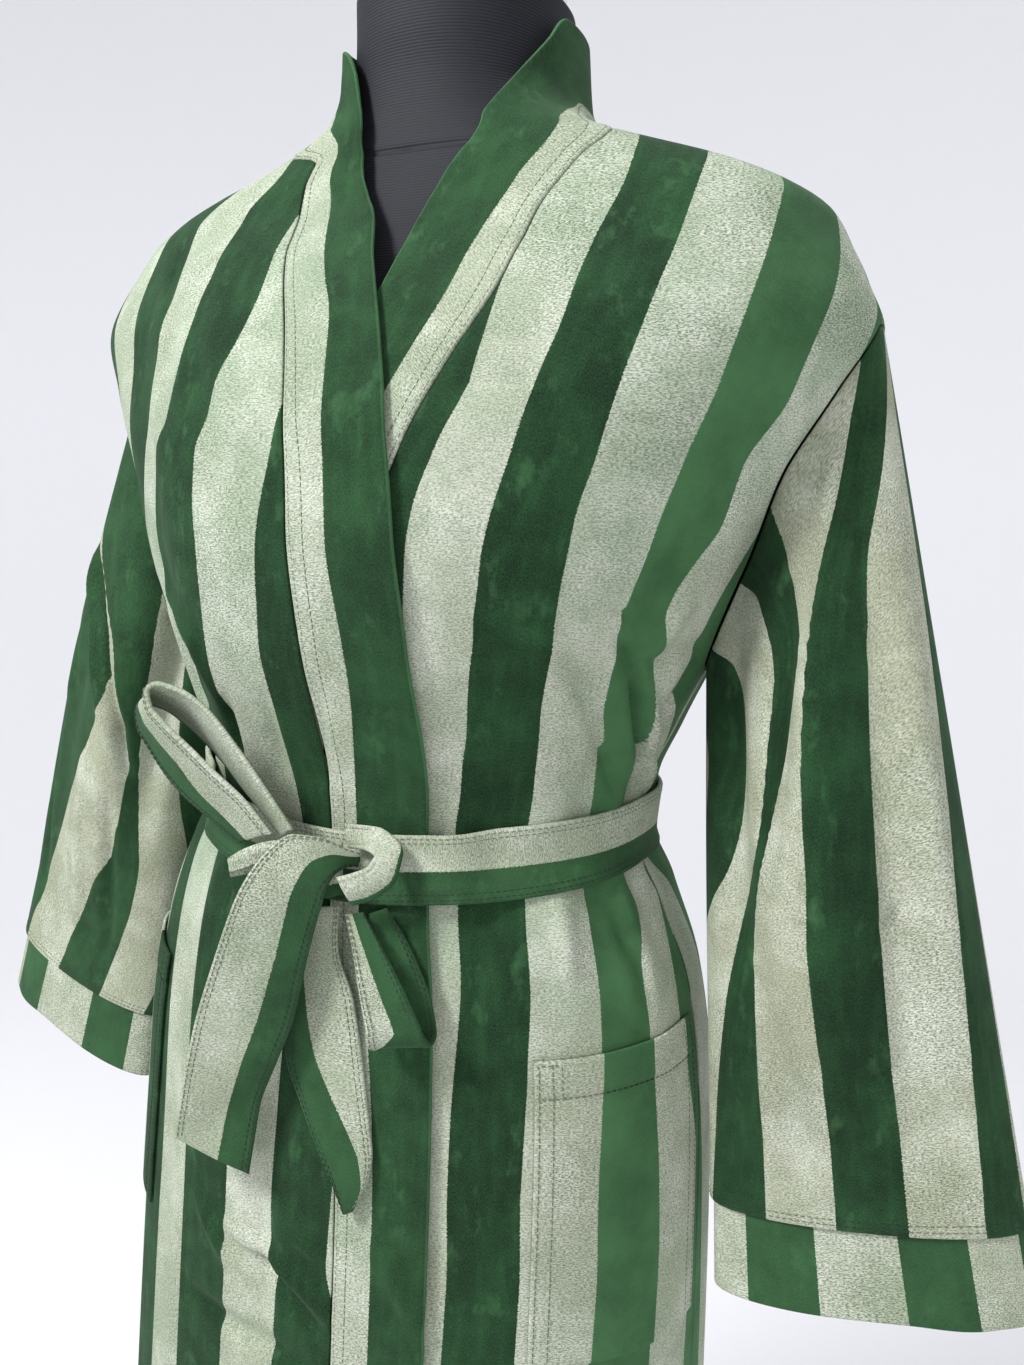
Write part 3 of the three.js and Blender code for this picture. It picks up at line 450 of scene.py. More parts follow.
def crease_field(u, v, creases):
    """Soft troughs (negative) and ridges (positive) along short paths.

    Each row is a path of points, its half width and its depth.
    """
    total = np.zeros_like(u)
    for path, half, depth in creases:
        path = np.asarray(path, float)
        lengths = np.linalg.norm(np.diff(path, axis=0), axis=1)
        whole = lengths.sum()
        done = 0.0
        reach = half * 3
        low, high = path.min(0) - reach, path.max(0) + reach
        inside = (u > low[0]) & (u < high[0]) & (v > low[1]) & (v < high[1])
        if not inside.any():
            continue
        uu, vv = u[inside], v[inside]
        best = np.full_like(uu, 1e9)
        at = np.zeros_like(uu)
        for k, length in enumerate(lengths):
            start, step = path[k], path[k + 1] - path[k]
            t = np.clip(((uu - start[0]) * step[0] + (vv - start[1]) * step[1]) / max(length**2, 1e-6),
                0, 1)
            d = np.hypot(uu - start[0] - t * step[0], vv - start[1] - t * step[1])
            closer = d < best
            best = np.where(closer, d, best)
            at = np.where(closer, (done + t * length) / whole, at)
            done += length
        q = (best / half) ** 2
        profile = (1 - 0.45 * q) * np.exp(-q)
        fade = np.sin(np.pi * np.clip(0.08 + 0.84 * at, 0, 1)) ** 0.7
        total[inside] += depth * profile * fade
    return total


# Folds and creases of the body.
# Gathers at the belt: angle, half width in degrees, depth, reach above it and below it in millimetres.
GATHERS = (
    (-128, 5, -3.2, 70, 90), (-112, 6, 3, 50, 120), (-84, 5, -4.1, 95, 70), (-66, 5, 2.7, 80, 110),
    (-52, 4, -2.4, 60, 60), (36, 4, -1.9, 40, 50), (50, 5, 2, 60, 90), (62, 4, -3, 75, 60),
    (73, 4, 3.2, 90, 100), (82, 3.5, -3.8, 110, 70), (97, 5, -3.5, 100, 120), (115, 6, 3.2, 60, 90),
    (131, 5, -3, 90, 130), (150, 6, 2.7, 70, 80), (168, 5, -3.2, 80, 140), (-152, 6, 3, 90, 60),
    (-170, 5, -2.7, 60, 110),
)
# Long soft flutes of the skirt: angle, half width in degrees, depth at the hem.
FLUTES = (
    (-150, 14, 5), (-118, 12, -5), (-92, 9, 4), (-62, 11, -3), (-38, 9, 2.5), (44, 10, -2.5),
    (66, 9, 3.5), (88, 8, -4),
    (112, 12, 5), (140, 12, -5), (168, 12, 4),
)
# Creases read off the photo, as paths round the body and up it, with half width and depth.
BODY_CREASES = (
    (((155, 1174), (172, 1162)), 3.5, -3.4),
    (((135, 1152), (148, 1122), (156, 1096)), 7, -5.1),
    (((127, 1152), (138, 1122), (145, 1088)), 9, 3.4),
    (((166, 1154), (180, 1126), (186, 1104)), 5, -6.4),
    (((178, 1126), (184, 1098), (193, 1064)), 4, -10.6),
    (((187, 1126), (194, 1096), (208, 1064)), 5, 7.5),
    (((156, 1096), (166, 1068)), 4, -4.6),
    (((77, 1212), (92, 1202)), 4, 2.1),
    (((91, 1162), (115, 1152), (135, 1146)), 5, 2.1),
    (((225, 1150), (208, 1146), (179, 1138)), 7, -5.5),
    (((229, 1138), (221, 1124), (208, 1112)), 6, -6.4),
    (((208, 1174), (190, 1154), (180, 1132)), 8, 4.2),
    (((203, 1214), (186, 1178), (172, 1148)), 10, -3.9),
    (((-72, 804), (-43, 776)), 6, 4.2),
    (((-45, 798), (-8, 790), (26, 772)), 6, 4.6),
    (((-41, 790), (-5, 782), (24, 760)), 6, -4.6),
    (((-5, 792), (26, 782)), 5, 3.4),
    (((3, 810), (22, 804)), 4, 3),
    (((-26, 834), (-18, 794), (-18, 752)), 10, -4.6),
    (((-76, 744), (-32, 740), (12, 740)), 7, -3.9),
    (((101, 866), (140, 848)), 6, -2.5),
    (((56, 820), (84, 778)), 7, 3),
    (((-152, 1160), (-129, 1130), (-103, 1096)), 6, -6.8),
    (((-124, 1166), (-82, 1136), (-69, 1104)), 8, 5.1),
    (((-63, 1104), (-61, 1068)), 5, -4.6),
    (((-31, 1108), (-26, 1062)), 6, -4.2),
    (((8, 1120), (6, 1068)), 6, -3),
    (((82, 1270), (115, 1270)), 3, -1.8),
    (((154, 1256), (181, 1252)), 3, -1.8),
    (((-30, 1342), (7, 1294), (25, 1250)), 9, 2.5),
    (((-146, 1360), (-110, 1302), (-103, 1252)), 9, -4.2),
    (((-81, 1316), (-43, 1250), (-34, 1202)), 12, 3.4),
    (((87, 1010), (96, 982), (98, 946)), 8, -3.4),
    (((166, 1008), (189, 976), (197, 952)), 7, -4.2),
    (((135, 1012), (145, 972)), 7, 3),
    # On the back and the far side.
    (((300, 1200), (340, 1130), (360, 1084)), 8, -5.1),
    (((-300, 1210), (-345, 1140), (-370, 1085)), 8, -5.5),
    (((430, 1300), (400, 1180)), 12, -3.9), (((-430, 1290), (-395, 1170)), 12, 3.9),
    (((-250, 1180), (-300, 1120)), 6, -5.5),
    (((255, 700), (300, 600), (320, 480)), 12, 4.2), (((-240, 640), (-300, 540), (-330, 420)), 12, -4.2),
    (((350, 420), (380, 300)), 10, 3.9), (((-150, 560), (-90, 480), (-40, 420)), 8, -3.9),
    (((60, 520), (110, 420), (150, 340)), 9, 3.9), (((-30, 640), (20, 580)), 6, 2.5),
    (((380, 880), (420, 780)), 8, -4.2),
    (((-380, 900), (-420, 780)), 8, 4.2), (((420, 1130), (450, 1084)), 6, 4.6),
    (((-455, 1150), (-440, 1086)), 6, -4.6),
)
BELT_MIDDLE = 1036.0


def body_relief(angle, z, u):
    total = crease_field(u, z, BODY_CREASES)
    for place, half, depth, above, below in GATHERS:
        away = np.abs((angle - place + 180) % 360 - 180) / half
        reach = np.where(z > BELT_MIDDLE, above, below)
        fall = np.exp(-(((z - BELT_MIDDLE) / reach) ** 2))
        total = total + depth * np.exp(-(away**2)) * fall
    for place, half, depth in FLUTES:
        away = np.abs((angle - place + 180) % 360 - 180) / half
        total = total + depth * np.exp(-(away**2)) * smooth((980 - z) / 780) 
    return total * smooth((1425 - z) / 30)


PIECES = {}
BODY_Z = np.concatenate([edged(200, 700, 60, 0.9)[:-4], np.linspace(700, 1432, 250)[:-1],
    1432 - 0.9 * EDGE_STEPS[::-1]])
RIM_SHARE = 0.0032


def panel_columns(count):
    return edged(0.0, 1.0, count, RIM_SHARE)


def painted_sheen_by_side(angle):
    """Painted sheen: the green is painted lighter on the wearer's left side, standing in for light
    catching the pile there.
    """
    return smooth((angle - 33) / 12) * (1 - smooth((angle - 150) / 30))


def look(painted_sheen, rough, warm, like):
    """How much painted sheen lightens the green at each point, and how heathered and how warm the beige
    is.
    """
    return np.stack([value + 0 * like for value in (painted_sheen, rough, warm)], -1)


def cloth_facts(stripe, run, looks):
    """What every point of a piece of cloth carries: its stripe, its place in the weave and its look."""
    return {"stripe": stripe, "weave": np.stack([stripe * STRIPE_PITCH, run, 0 * run], -1), "look": looks}


def body_look(angle, z, stripe=None):
    """On the fronts the third green stripe and those beyond it are painted lighter, as painted sheen
    standing in for light on the pile.
    """
    painted_sheen = painted_sheen_by_side(angle) if stripe is None else 0.95 * smooth((stripe - 2.2) / 0.6) * smooth(angle / 5)
    painted_sheen = painted_sheen * (1 - 0.5 * smooth((z - 1270) / 60))
    above_crease = smooth((z - 1286 - 0.06 * angle) / 6)
    left_side = smooth((angle + 20) / 20)
    rough = mix(0.32, 0.95, above_crease) * left_side + 0.6 * (1 - left_side)
    return look(painted_sheen, rough, 0.2 * smooth((1000 - z) / 80), angle)


def make_front(name, curves, side):
    z = BODY_Z[:, None]
    seam = curves.seam_angle(curves.place_at(z))
    depth = np.linalg.norm(bare_body(seam, z)[..., :2], axis=-1)
    inner = side * seam + SEAM_GAP / depth / DEG
    outer = 90 - np.maximum(side_gap(z, True), armhole(z, ARMHOLE_FRONT) * front_share(z))
    angle = side * mix(inner, outer, panel_columns(110)[None, :])
    z = z + 0 * angle
    u = arc_at(angle, z)
    lift = lap_lift(angle, z) if side < 0 else 0
    mid = body_point(angle, z, lift - CLOTH / 2 + body_relief(angle, z, u))
    stripe = front_stripes(u, z, side)
    facts = cloth_facts(stripe, z, body_look(angle, z, stripe))
    obj = shell(name, mid, CLOTH, facts, side)
    PIECES[name] = obj
    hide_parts(name.replace("cloth_", ""))
    return obj


def make_back():
    z = BODY_Z[:, None]
    start = 90 + np.maximum(side_gap(z, False), armhole(z, ARMHOLE_BACK))
    angle = mix(start, 360 - start, panel_columns(170)[None, :])
    z = z + 0 * angle
    folded = (angle + 180) % 360 - 180
    u = arc_at(np.abs(folded), z)
    across = np.sign(180 - angle) * (arc_at(179.999, z) - u)
    relief = body_relief(folded, z, np.where(angle > 180, -u, u) + 0)
    mid = body_point(angle, z, relief - CLOTH / 2)
    pitch = mix(STRIPE_PITCH, 34, smooth((1150 - z) / 90) * smooth((z - 900) / 110))
    stripe = across / pitch + 0.5
    facts = cloth_facts(stripe, z, body_look(folded, z))
    obj = shell("cloth_back", mid, CLOTH, facts, 1)
    PIECES["cloth_back"] = obj
    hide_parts("back")
    return obj


# Share of the band's width that its beige stripe takes, from the seam, by place along it.
RIGHT_SHARE = np.array([(0, 0.4), (1, 0.4), (2, 0.3), (3, 0.26), (4, 0.4), (5, 0.35), (6, 0.37),
    (7, 0.5), (8, 0.5),
                        (9, 0.5), (10, 0.46), (13, 0.44), (16, 0.42)], float)
LEFT_SHARE = np.array([(0, 0.36), (7, 0.38), (9, 0.34), (11, 0.33), (12, 0.28), (13, 0.2), (14, 0.16),
    (17, 0.2)], float)
BAND_WIDTH = 57.0


def band_surface(curves, k, t, lifted, off):
    angle = mix(curves.seam_angle(k), curves.free_angle(k), t)
    z = mix(curves.seam_z(k), curves.free_z(k), t)
    lift = lap_lift(angle, z) if lifted else 0
    u = arc_at(angle, z)
    # Two shallow stitched channels beside the seam.
    channels = -0.35 * (groove(t * BAND_WIDTH, 2.2, 0.9) + groove(t * BAND_WIDTH, 8, 0.9))
    relief = body_relief(angle, z, u) * smooth((1430 - z) / 40)
    return body_point(angle, z, lift + BAND_RISE + channels + relief + off), angle, z, u


def make_band(name, curves, shares, lifted, side):
    low = curves.place_at(BODY_Z)
    k = np.concatenate([low[:-4], np.linspace(low[-5], curves.last, 90)[1:-1],
        curves.last - 0.01 * EDGE_STEPS[::-1]])
    k = k[:, None]
    t = edged(0.0, 1.0, 26, 1.5 / BAND_WIDTH)[None, :]
    mid, angle, _, _ = band_surface(curves, k, t, lifted, -BAND / 2)
    run = np.concatenate([[0], np.cumsum(np.linalg.norm(np.diff(mid[:, 13], axis=0), axis=-1))])[:,
        None] + 0 * t
    share = track(shares[:, 0], shares[:, 1])(k)
    stripe = np.minimum(1.97, 1 - (share - t) * BAND_WIDTH / STRIPE_PITCH + 0 * k)
    # Painted sheen: a lighter green line painted along the band's free edge, with a little painted sheen
    # over the rest of the band.
    rim = smooth((t - 0.972) / 0.012) + 0 * angle
    facts = cloth_facts(stripe, run, look(np.maximum(0.1, rim * 0.9), 0.62, 0.15, angle))
    obj = shell(name, mid, BAND, facts, -side)
    PIECES[name] = obj
    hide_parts(name.replace("cloth_", ""))
    return obj


# Bounds of the stripes round each sleeve, in degrees round it, by place along it.
NEAR_SLEEVE = np.array([
    (0.0, -30, -8, -2, 38, 92, 118), (0.1, -26, 7, 28, 60, 84, 101), (0.2, -20, 10, 47, 77, 81, 94),
    (0.3, -12, 13, 54, 84, 91, 99), (0.4, -7, 19, 59, 88, 103, 107), (0.5, -1, 27, 63, 90, 115, 127),
    (0.6, 3, 34, 67, 93, 120, 137), (0.8, 9, 40, 73, 95, 123, 154), (1.0, 14, 45, 76, 97, 124, 165),
], float)
FAR_SLEEVE = np.array([
    (0, -138, -102, -66, -30, 41, 92), (0.11, -134, -98, -60, -30, 29, 103),
    (0.2, -128, -92, -50, -10, 33, 108),
    (0.27, -120, -79, -25, 36, 49, 112), (0.305, -117, -71, -8, 82, 86, 113),
    (0.35, -113, -63, 10, 88, 95, 115),
    (0.4, -110, -56, 18, 91, 105, 116), (0.475, -105, -48, 22, 88, 114, 119),
    (0.555, -100, -41, 24, 81, 114, 125),
    (0.66, -93, -37, 22, 70, 111, 132), (0.76, -86, -35, 18, 60, 101, 129),
    (0.87, -78, -34, 12, 50, 92, 121),
    (1, -69, -33, 3, 39, 84, 114),
], float)
NEAR_CUFF = np.array([(0.0, 22, 54, 80, 105, 136), (1.0, 22, 54, 80, 105, 136)], float)
FAR_CUFF = np.array([(0.0, 73, 108, 142), (1.0, 73, 108, 142)], float)
SLEEVE_SEAM = -168.0
# Creases as paths round a sleeve and down it, in millimetres, with half width and depth.
NEAR_CREASES = (
    (((79, 54), (91, 174), (107, 398)), 14, 5.2),
    (((43, 88), (54, 224), (76, 402)), 15, -5.2),
    (((30, 135), (31, 260), (36, 406)), 12, 4.4),
    (((91, 64), (107, 142), (125, 213)), 9, -6),
    (((72, 262), (46, 256)), 6, -2.8),
    (((85, 217), (64, 247)), 6, 2.4),
    (((110, 318), (89, 340), (69, 340)), 8, -2.8),
    (((44, 17), (45, 67), (49, 103)), 8, -4),
    (((59, 28), (67, 67)), 7, 4),
    (((137, 260), (127, 344), (127, 406)), 10, -4),
    (((59, 114), (45, 133), (31, 140)), 7, -2.4),
    (((-60, 60), (-80, 200), (-90, 380)), 12, -4.8), (((-120, 120), (-130, 260)), 10, 4),
    (((-30, 150), (-20, 300)), 9, -3.6),
    (((-100, 60), (-95, 130)), 8, -4), (((-140, 300), (-150, 400)), 10, 4),
)
FAR_CREASES = (
    (((32, 120), (88, 140), (128, 176), (137, 206)), 6, -7.2),
    (((27, 131), (75, 159), (122, 191)), 8, 5.4),
    (((31, 232), (33, 312), (45, 393)), 9, -4.3),
    (((95, 232), (104, 316), (106, 404)), 9, 4),
    (((130, 239), (137, 312), (137, 393)), 7, -3.6),
    (((20, 26), (23, 71), (26, 116)), 7, -4.3),
    (((29, 176), (47, 213)), 6, -2.9),
    (((-60, 80), (-75, 220), (-80, 390)), 12, 4.3), (((-120, 140), (-130, 280)), 10, -3.6),
    (((-20, 60), (-12, 170)), 8, -3.2),
)



def sleeve_end(side):
    SLEEVE_END.update(dict(side=1, x=284, half=80) if side > 0 else dict(side=-1, x=289, half=85))


def sleeve_grid(side, around, along, off, creases=()):
    sleeve_end(side)
    level = sleeve_point(around, along * 0 + 0.6, 0 * around)
    steps = np.linalg.norm(np.diff(level, axis=1)[0], axis=-1)
    ring = np.concatenate([[0], np.cumsum(steps)])
    zero = np.interp(0, around[0], ring)
    u = ring[None, :] - zero + 0 * around
    v = along * SLEEVE_LENGTH + 0 * around
    points = sleeve_point(around, along, off + crease_field(u, v, creases))
    points[..., 0] *= side
    return points, u, v


def ring_stripes(points, around, along, table, offset):
    steps = np.linalg.norm(np.diff(points, axis=1), axis=-1)
    run = np.concatenate([np.zeros((len(points), 1)), np.cumsum(steps, 1)], 1)
    bounds = []
    for column in range(1, table.shape[1]):
        angle = track(table[:, 0], table[:, column])(along[:, 0])
        place = [np.interp(a, around[0], row) for a, row in zip(angle, run)]
        bounds.append(np.asarray(place)[:, None] + 0 * run)
    return stripe_place(run, bounds) + offset


def make_sleeve(name, side, table, offset, creases):
    around = edged(SLEEVE_SEAM, SLEEVE_SEAM + 360, 190, 0.8)[None, :] + np.zeros((1, 1))
    along = edged(0.0, 1.0, 170, 0.9 / SLEEVE_LENGTH)[:, None]
    around = around + 0 * along
    along = along + 0 * around
    mid, _, v = sleeve_grid(side, around, along, -CLOTH / 2, creases)
    stripe = ring_stripes(mid, around, along, table, offset)
    # Painted sheen: the near sleeve's green is painted lighter where it runs round below 60 degrees, the
    # far sleeve's a little lighter all round.
    painted_sheen = 0.16 * smooth((60 - around) / 60) if side > 0 else 0.12
    facts = cloth_facts(stripe, v, look(painted_sheen, 0.6, 0.6, around))
    obj = shell(name, mid, CLOTH, facts, -side)
    PIECES[name] = obj
    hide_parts(name.replace("cloth_", ""))
    return obj


def cuff_points(side, around, drop, off):
    sleeve_end(side)
    inset = off - CLOTH - 0.4
    held = sleeve_point(around, 1 + np.minimum(drop, 0) / SLEEVE_LENGTH, inset)
    end = sleeve_point(around, 1 + 0 * around, inset)
    before = sleeve_point(around, 0.96 + 0 * around, inset)
    points = np.where((drop > 0)[..., None], end + unit(end - before) * np.maximum(drop, 0)[..., None],
        held)
    points[..., 0] *= side
    return points


def make_cuff(name, side, table):
    around = edged(SLEEVE_SEAM, SLEEVE_SEAM + 360, 150, 0.8)[None, :]
    drop = edged(-CUFF_OVERLAP, CUFF_DROP, 30, 0.9)[:, None]
    around, drop = np.broadcast_arrays(around, drop)
    mid = cuff_points(side, around, drop, -CLOTH / 2)
    along = (drop + CUFF_OVERLAP) / (CUFF_DROP + CUFF_OVERLAP)
    stripe = ring_stripes(mid, around, along, table, 0)
    # The look's first value is an even amount of painted sheen.
    facts = cloth_facts(stripe, drop, look(0.34, 0.6, 0.35, around))
    obj = shell(name, mid, CLOTH, facts, -side)
    PIECES[name] = obj
    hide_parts(name.replace("cloth_", ""))
    return obj


POCKET_INNER, POCKET_OUTER = 41.0, 86.0
POCKET_MOUTH, POCKET_BOTTOM, POCKET_SLANT = 932.0, 765.0, 8.0
POCKET_HEM = 20.0
POCKET_WIDTH = 95.0


def pocket_surface(side, t, drop, off):
    """t runs from the inner edge to the side, and drop from the mouth down, in millimetres."""
    angle = side * mix(POCKET_INNER, POCKET_OUTER, t)
    top = POCKET_MOUTH + POCKET_SLANT * t
    z = top - drop * (top - POCKET_BOTTOM) / (POCKET_MOUTH - POCKET_BOTTOM)
    u = arc_at(angle, z)
    lift = lap_lift(angle, z) if side < 0 else 0
    return body_point(angle, z, lift + body_relief(angle, z, u) + off), angle, z, u


def make_pocket(name, side):
    t = edged(0.0, 1.0, 60, 1.0 / POCKET_WIDTH)[None, :]
    drop = edged(0.0, POCKET_MOUTH - POCKET_BOTTOM, 90, 1.0)[:, None]
    t, drop = np.broadcast_arrays(t, drop)
    hem = 0.5 * smooth((POCKET_HEM - drop) / 1.5) - 0.5 * np.exp(-(((drop - POCKET_HEM) / 1.0) ** 2))
    edge = -0.3 * (groove(t * POCKET_WIDTH, 2.0, 0.8) + groove(t * POCKET_WIDTH, 8.0, 0.8))
    mid, angle, z, u = pocket_surface(side, t, drop, 0.7 + 1.0 + hem + edge)
    stripe = front_stripes(u, z, side)
    # The pocket takes the fronts' painted sheen.
    facts = cloth_facts(stripe, z, look(body_look(angle, z, stripe)[..., 0], 0.5, 0.25, angle))
    obj = shell(name, mid, 2.0, facts, -side)
    PIECES[name] = obj
    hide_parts(name.replace("cloth_", ""))
    return obj


BELT_LINE = np.array([(-180, 1044), (-90, 1047), (-50, 1041), (-22, 1027), (0, 1021), (27, 1027),
    (45, 1032), (68, 1037),
                      (90, 1041), (180, 1044)], float)


def belt_surface(angle, t, off):
    z = track(BELT_LINE[:, 0], BELT_LINE[:, 1])(angle) + BELT_WIDTH * (t - 0.5)
    lap = smooth((angle + 44) / 12) * smooth((40 - angle) / 12)
    puff = 0.5 * np.sin(np.pi * np.clip(t, 0, 1))
    return body_point(angle, z, BELT_CLEARANCE + 6 * lap + puff + off)


def make_belt():
    angle = np.linspace(-180, 180, 361)[:-1][None, :]
    t = edged(0.0, 1.0, 14, 1.5 / BELT_WIDTH)[:, None]
    angle, t = np.broadcast_arrays(angle, t)
    mid = belt_surface(angle, t, BELT_THICKNESS / 2)
    run = np.cumsum(np.linalg.norm(np.roll(mid, -1, 1) - mid, axis=-1), 1)
    stripe = 1 - (t - 0.42) * BELT_WIDTH / STRIPE_PITCH
    # The look's first value is an even amount of painted sheen.
    facts = cloth_facts(stripe, run, look(0.35, 0.6, 0.2, angle))
    obj = shell("cloth_belt", mid, BELT_THICKNESS, facts, 1, wrap=True)
    PIECES["cloth_belt"] = obj
    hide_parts("belt")
    return obj


KNOT_WRAP = np.array([
    (23.8, -121.1, 1033.7, 20.5, -121, 1046.6),
    (32.2, -121.3, 1034.2, 38.4, -116.5, 1046.6),
    (39.4, -124.5, 1034.6, 50.6, -116.7, 1041.8),
    (44.2, -127.8, 1033.6, 56.9, -120.2, 1034.7),
    (44.1, -132.8, 1030.6, 56.9, -125, 1024.2),
    (38.3, -138.4, 1027.2, 49.8, -131, 1014.9),
    (30.8, -141.5, 1024.4, 37.3, -135.8, 1008.9),
], float)
KNOT_ROLL = np.array([
    (-3.2, -136.4, 1037.7, -4.5, -139.1, 1023.0),
    (-13.9, -144.3, 1035.5, -13.4, -146.0, 1021.9),
    (-24.0, -148.9, 1030.9, -20.7, -149.0, 1018.1),
    (-33.1, -149.8, 1024.6, -30.2, -149.7, 1014.8),
], float)
KNOT_CORE = np.array([
    (22.3, -124.7, 1037.5, 25.2, -127.0, 1010.4),
    (14.4, -129.7, 1038.3, 17.6, -132.3, 1008.2),
    (2.9, -135.7, 1036.5, 5.8, -138.2, 1008.5),
], float)
TAIL_FRONT = np.array([
    (31.4, -122.0, 1032.6, 31.2, -123.0, 1025.7),
    (27.0, -128.3, 1035.4, 28.9, -128.6, 1026.2),
    (15.7, -137.6, 1041.9, 26.6, -135.8, 1023.8),
    (4.2, -144.3, 1042.9, 25.6, -140.2, 1019.4),
    (-7.7, -153.1, 1031.1, 24.9, -142.3, 1015.1),
    (-13.8, -157.8, 1019.5, 23.6, -142.8, 1008.6),
    (-20.0, -160.8, 1004.1, 21.3, -142.7, 1001.1),
    (-29.5, -161.4, 977.4, 15.0, -142.5, 977.0),
    (-41.5, -161.0, 942.3, 8.3, -142.4, 945.2),
    (-51.6, -158.5, 907.5, -2.4, -142.7, 916.2),
    (-59.3, -155.9, 873.2, -16.1, -139.7, 882.2),
    (-61.7, -155.4, 861.0, -19.3, -142.9, 846.5),
], float)
TAIL_BACK = np.array([
    (3.2, -131.5, 999.9, 22.4, -125.9, 1003.4),
    (1.6, -133.3, 976.9, 24.4, -128.1, 980.4),
    (-3.6, -130.3, 943.7, 34.2, -126.7, 954.7),
    (-5.7, -131.6, 918.0, 41.7, -127.3, 923.7),
    (4.5, -131.2, 892.0, 47.6, -128.3, 895.1),
    (21.8, -134.9, 867.6, 51.9, -129.4, 871.8),
    (32.1, -134.5, 849.7, 49.9, -130.1, 857.4),
    (38.7, -134.0, 837.9, 43.3, -133.4, 841.5),
], float)
LOOP_LOWER = np.array([
    (30.6, -132.2, 1002.2, 39.8, -128.5, 1004.1),
    (39.7, -137.7, 986.6, 53.2, -131.6, 990.3),
    (49.8, -143.6, 964.4, 70.6, -134.6, 970.5),
    (56.0, -146.2, 947.9, 82.3, -134.7, 951.9),
    (54.8, -141.3, 939.2, 85.0, -128.8, 944.4),
    (52.6, -133.5, 938.1, 82.8, -121.5, 947.3),
    (50.9, -126.6, 958.5, 74.5, -118.1, 966.7),
    (45.3, -123.3, 983.4, 61.4, -117.9, 988.1),
    (38.5, -122.0, 1001.1, 47.6, -119.1, 1005.4),
], float)
LOOP_UPPER = np.array([
    (-0.3, -138.7, 1043.1, -16.6, -124.6, 1032.8),
    (-16.4, -141.7, 1063.0, -44.3, -117.2, 1048.1),
    (-33.7, -144.3, 1082.9, -65.1, -117.3, 1065.6),
    (-54.2, -147.3, 1102.7, -89.6, -120.3, 1084.1),
    (-67.9, -150.8, 1110.6, -105.4, -124.7, 1093.7),
    (-80.2, -154.4, 1113.4, -117.5, -128.1, 1096.1),
    (-85.8, -156.6, 1109.2, -121.2, -129.7, 1090.1),
    (-83.5, -156.6, 1100.8, -119.2, -130.0, 1081.0),
    (-75.7, -154.9, 1092.9, -111.6, -128.8, 1070.2),
    (-58.9, -150.7, 1079.3, -100.4, -127.3, 1056.3),
    (-44.8, -147.4, 1067.8, -86.0, -126.2, 1044.9),
    (-28.7, -144.3, 1056.2, -65.8, -128.5, 1036.5),
    (-11.1, -142.3, 1039.8, -39.5, -133.4, 1027.9),
], float)


def strap_surface(rows, k, t):
    keys = np.arange(len(rows))
    a = np.stack([track(keys, rows[:, n])(k) for n in range(3)], -1)
    b = np.stack([track(keys, rows[:, n])(k) for n in range(3, 6)], -1)
    return a + (b - a) * np.asarray(t)[..., None]


def make_strap(name, rows, thickness, shares, beige_first, width, crown, around_steps=22, split=14):
    """A strap of the belt, ruled between its two edges.

    shares gives where its two stripes meet, from edge a to edge b.
    """
    last = len(rows) - 1
    line = strap_surface(rows, np.linspace(0, last, 200), 0.5 + np.zeros(200))
    run = np.concatenate([[0], np.cumsum(np.linalg.norm(np.diff(line, axis=0), axis=-1))])
    places = np.interp(edged(0, run[-1], last * split, thickness / 2), run, np.linspace(0, last, 200))
    k = places[:, None]
    t = edged(0.0, 1.0, around_steps, thickness / 2 / width)[None, :]
    k, t = np.broadcast_arrays(k, t)
    mid = strap_surface(rows, k, t)
    v = np.interp(k, np.linspace(0, last, 200), run)
    # A little fullness, and a stitched channel near each edge.
    edge = np.minimum(t, 1 - t) * width
    relief = crown * np.sin(np.pi * t) - 0.3 * np.exp(-(((edge - 3.2) / 0.9) ** 2))
    relief = relief + 0.35 * np.sin(v / 9.0 + 4 * t) * np.sin(np.pi * t)
    facing = np.sign((grid_normals(mid, False) * (np.array(EYE) * 1000 - mid)).sum(-1)).mean()
    mid = mid + grid_normals(mid, False) * (relief * (1 if facing > 0 else -1))[..., None]
    share = np.interp(k, shares[0], shares[1])
    sign = 1 if beige_first else -1
    stripe = 1 + sign * (t - share) * width / STRIPE_PITCH
    facts = {"stripe": stripe, "weave": np.stack([t * width, v, 0 * v], -1),
        # The look's first value is an even amount of painted sheen.
        "look": look(0.3, 0.6, 0.25, t)}
    obj = shell("cloth_" + name, mid, thickness, facts, 1)
    PIECES["cloth_" + name] = obj
    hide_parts(name)
    return obj


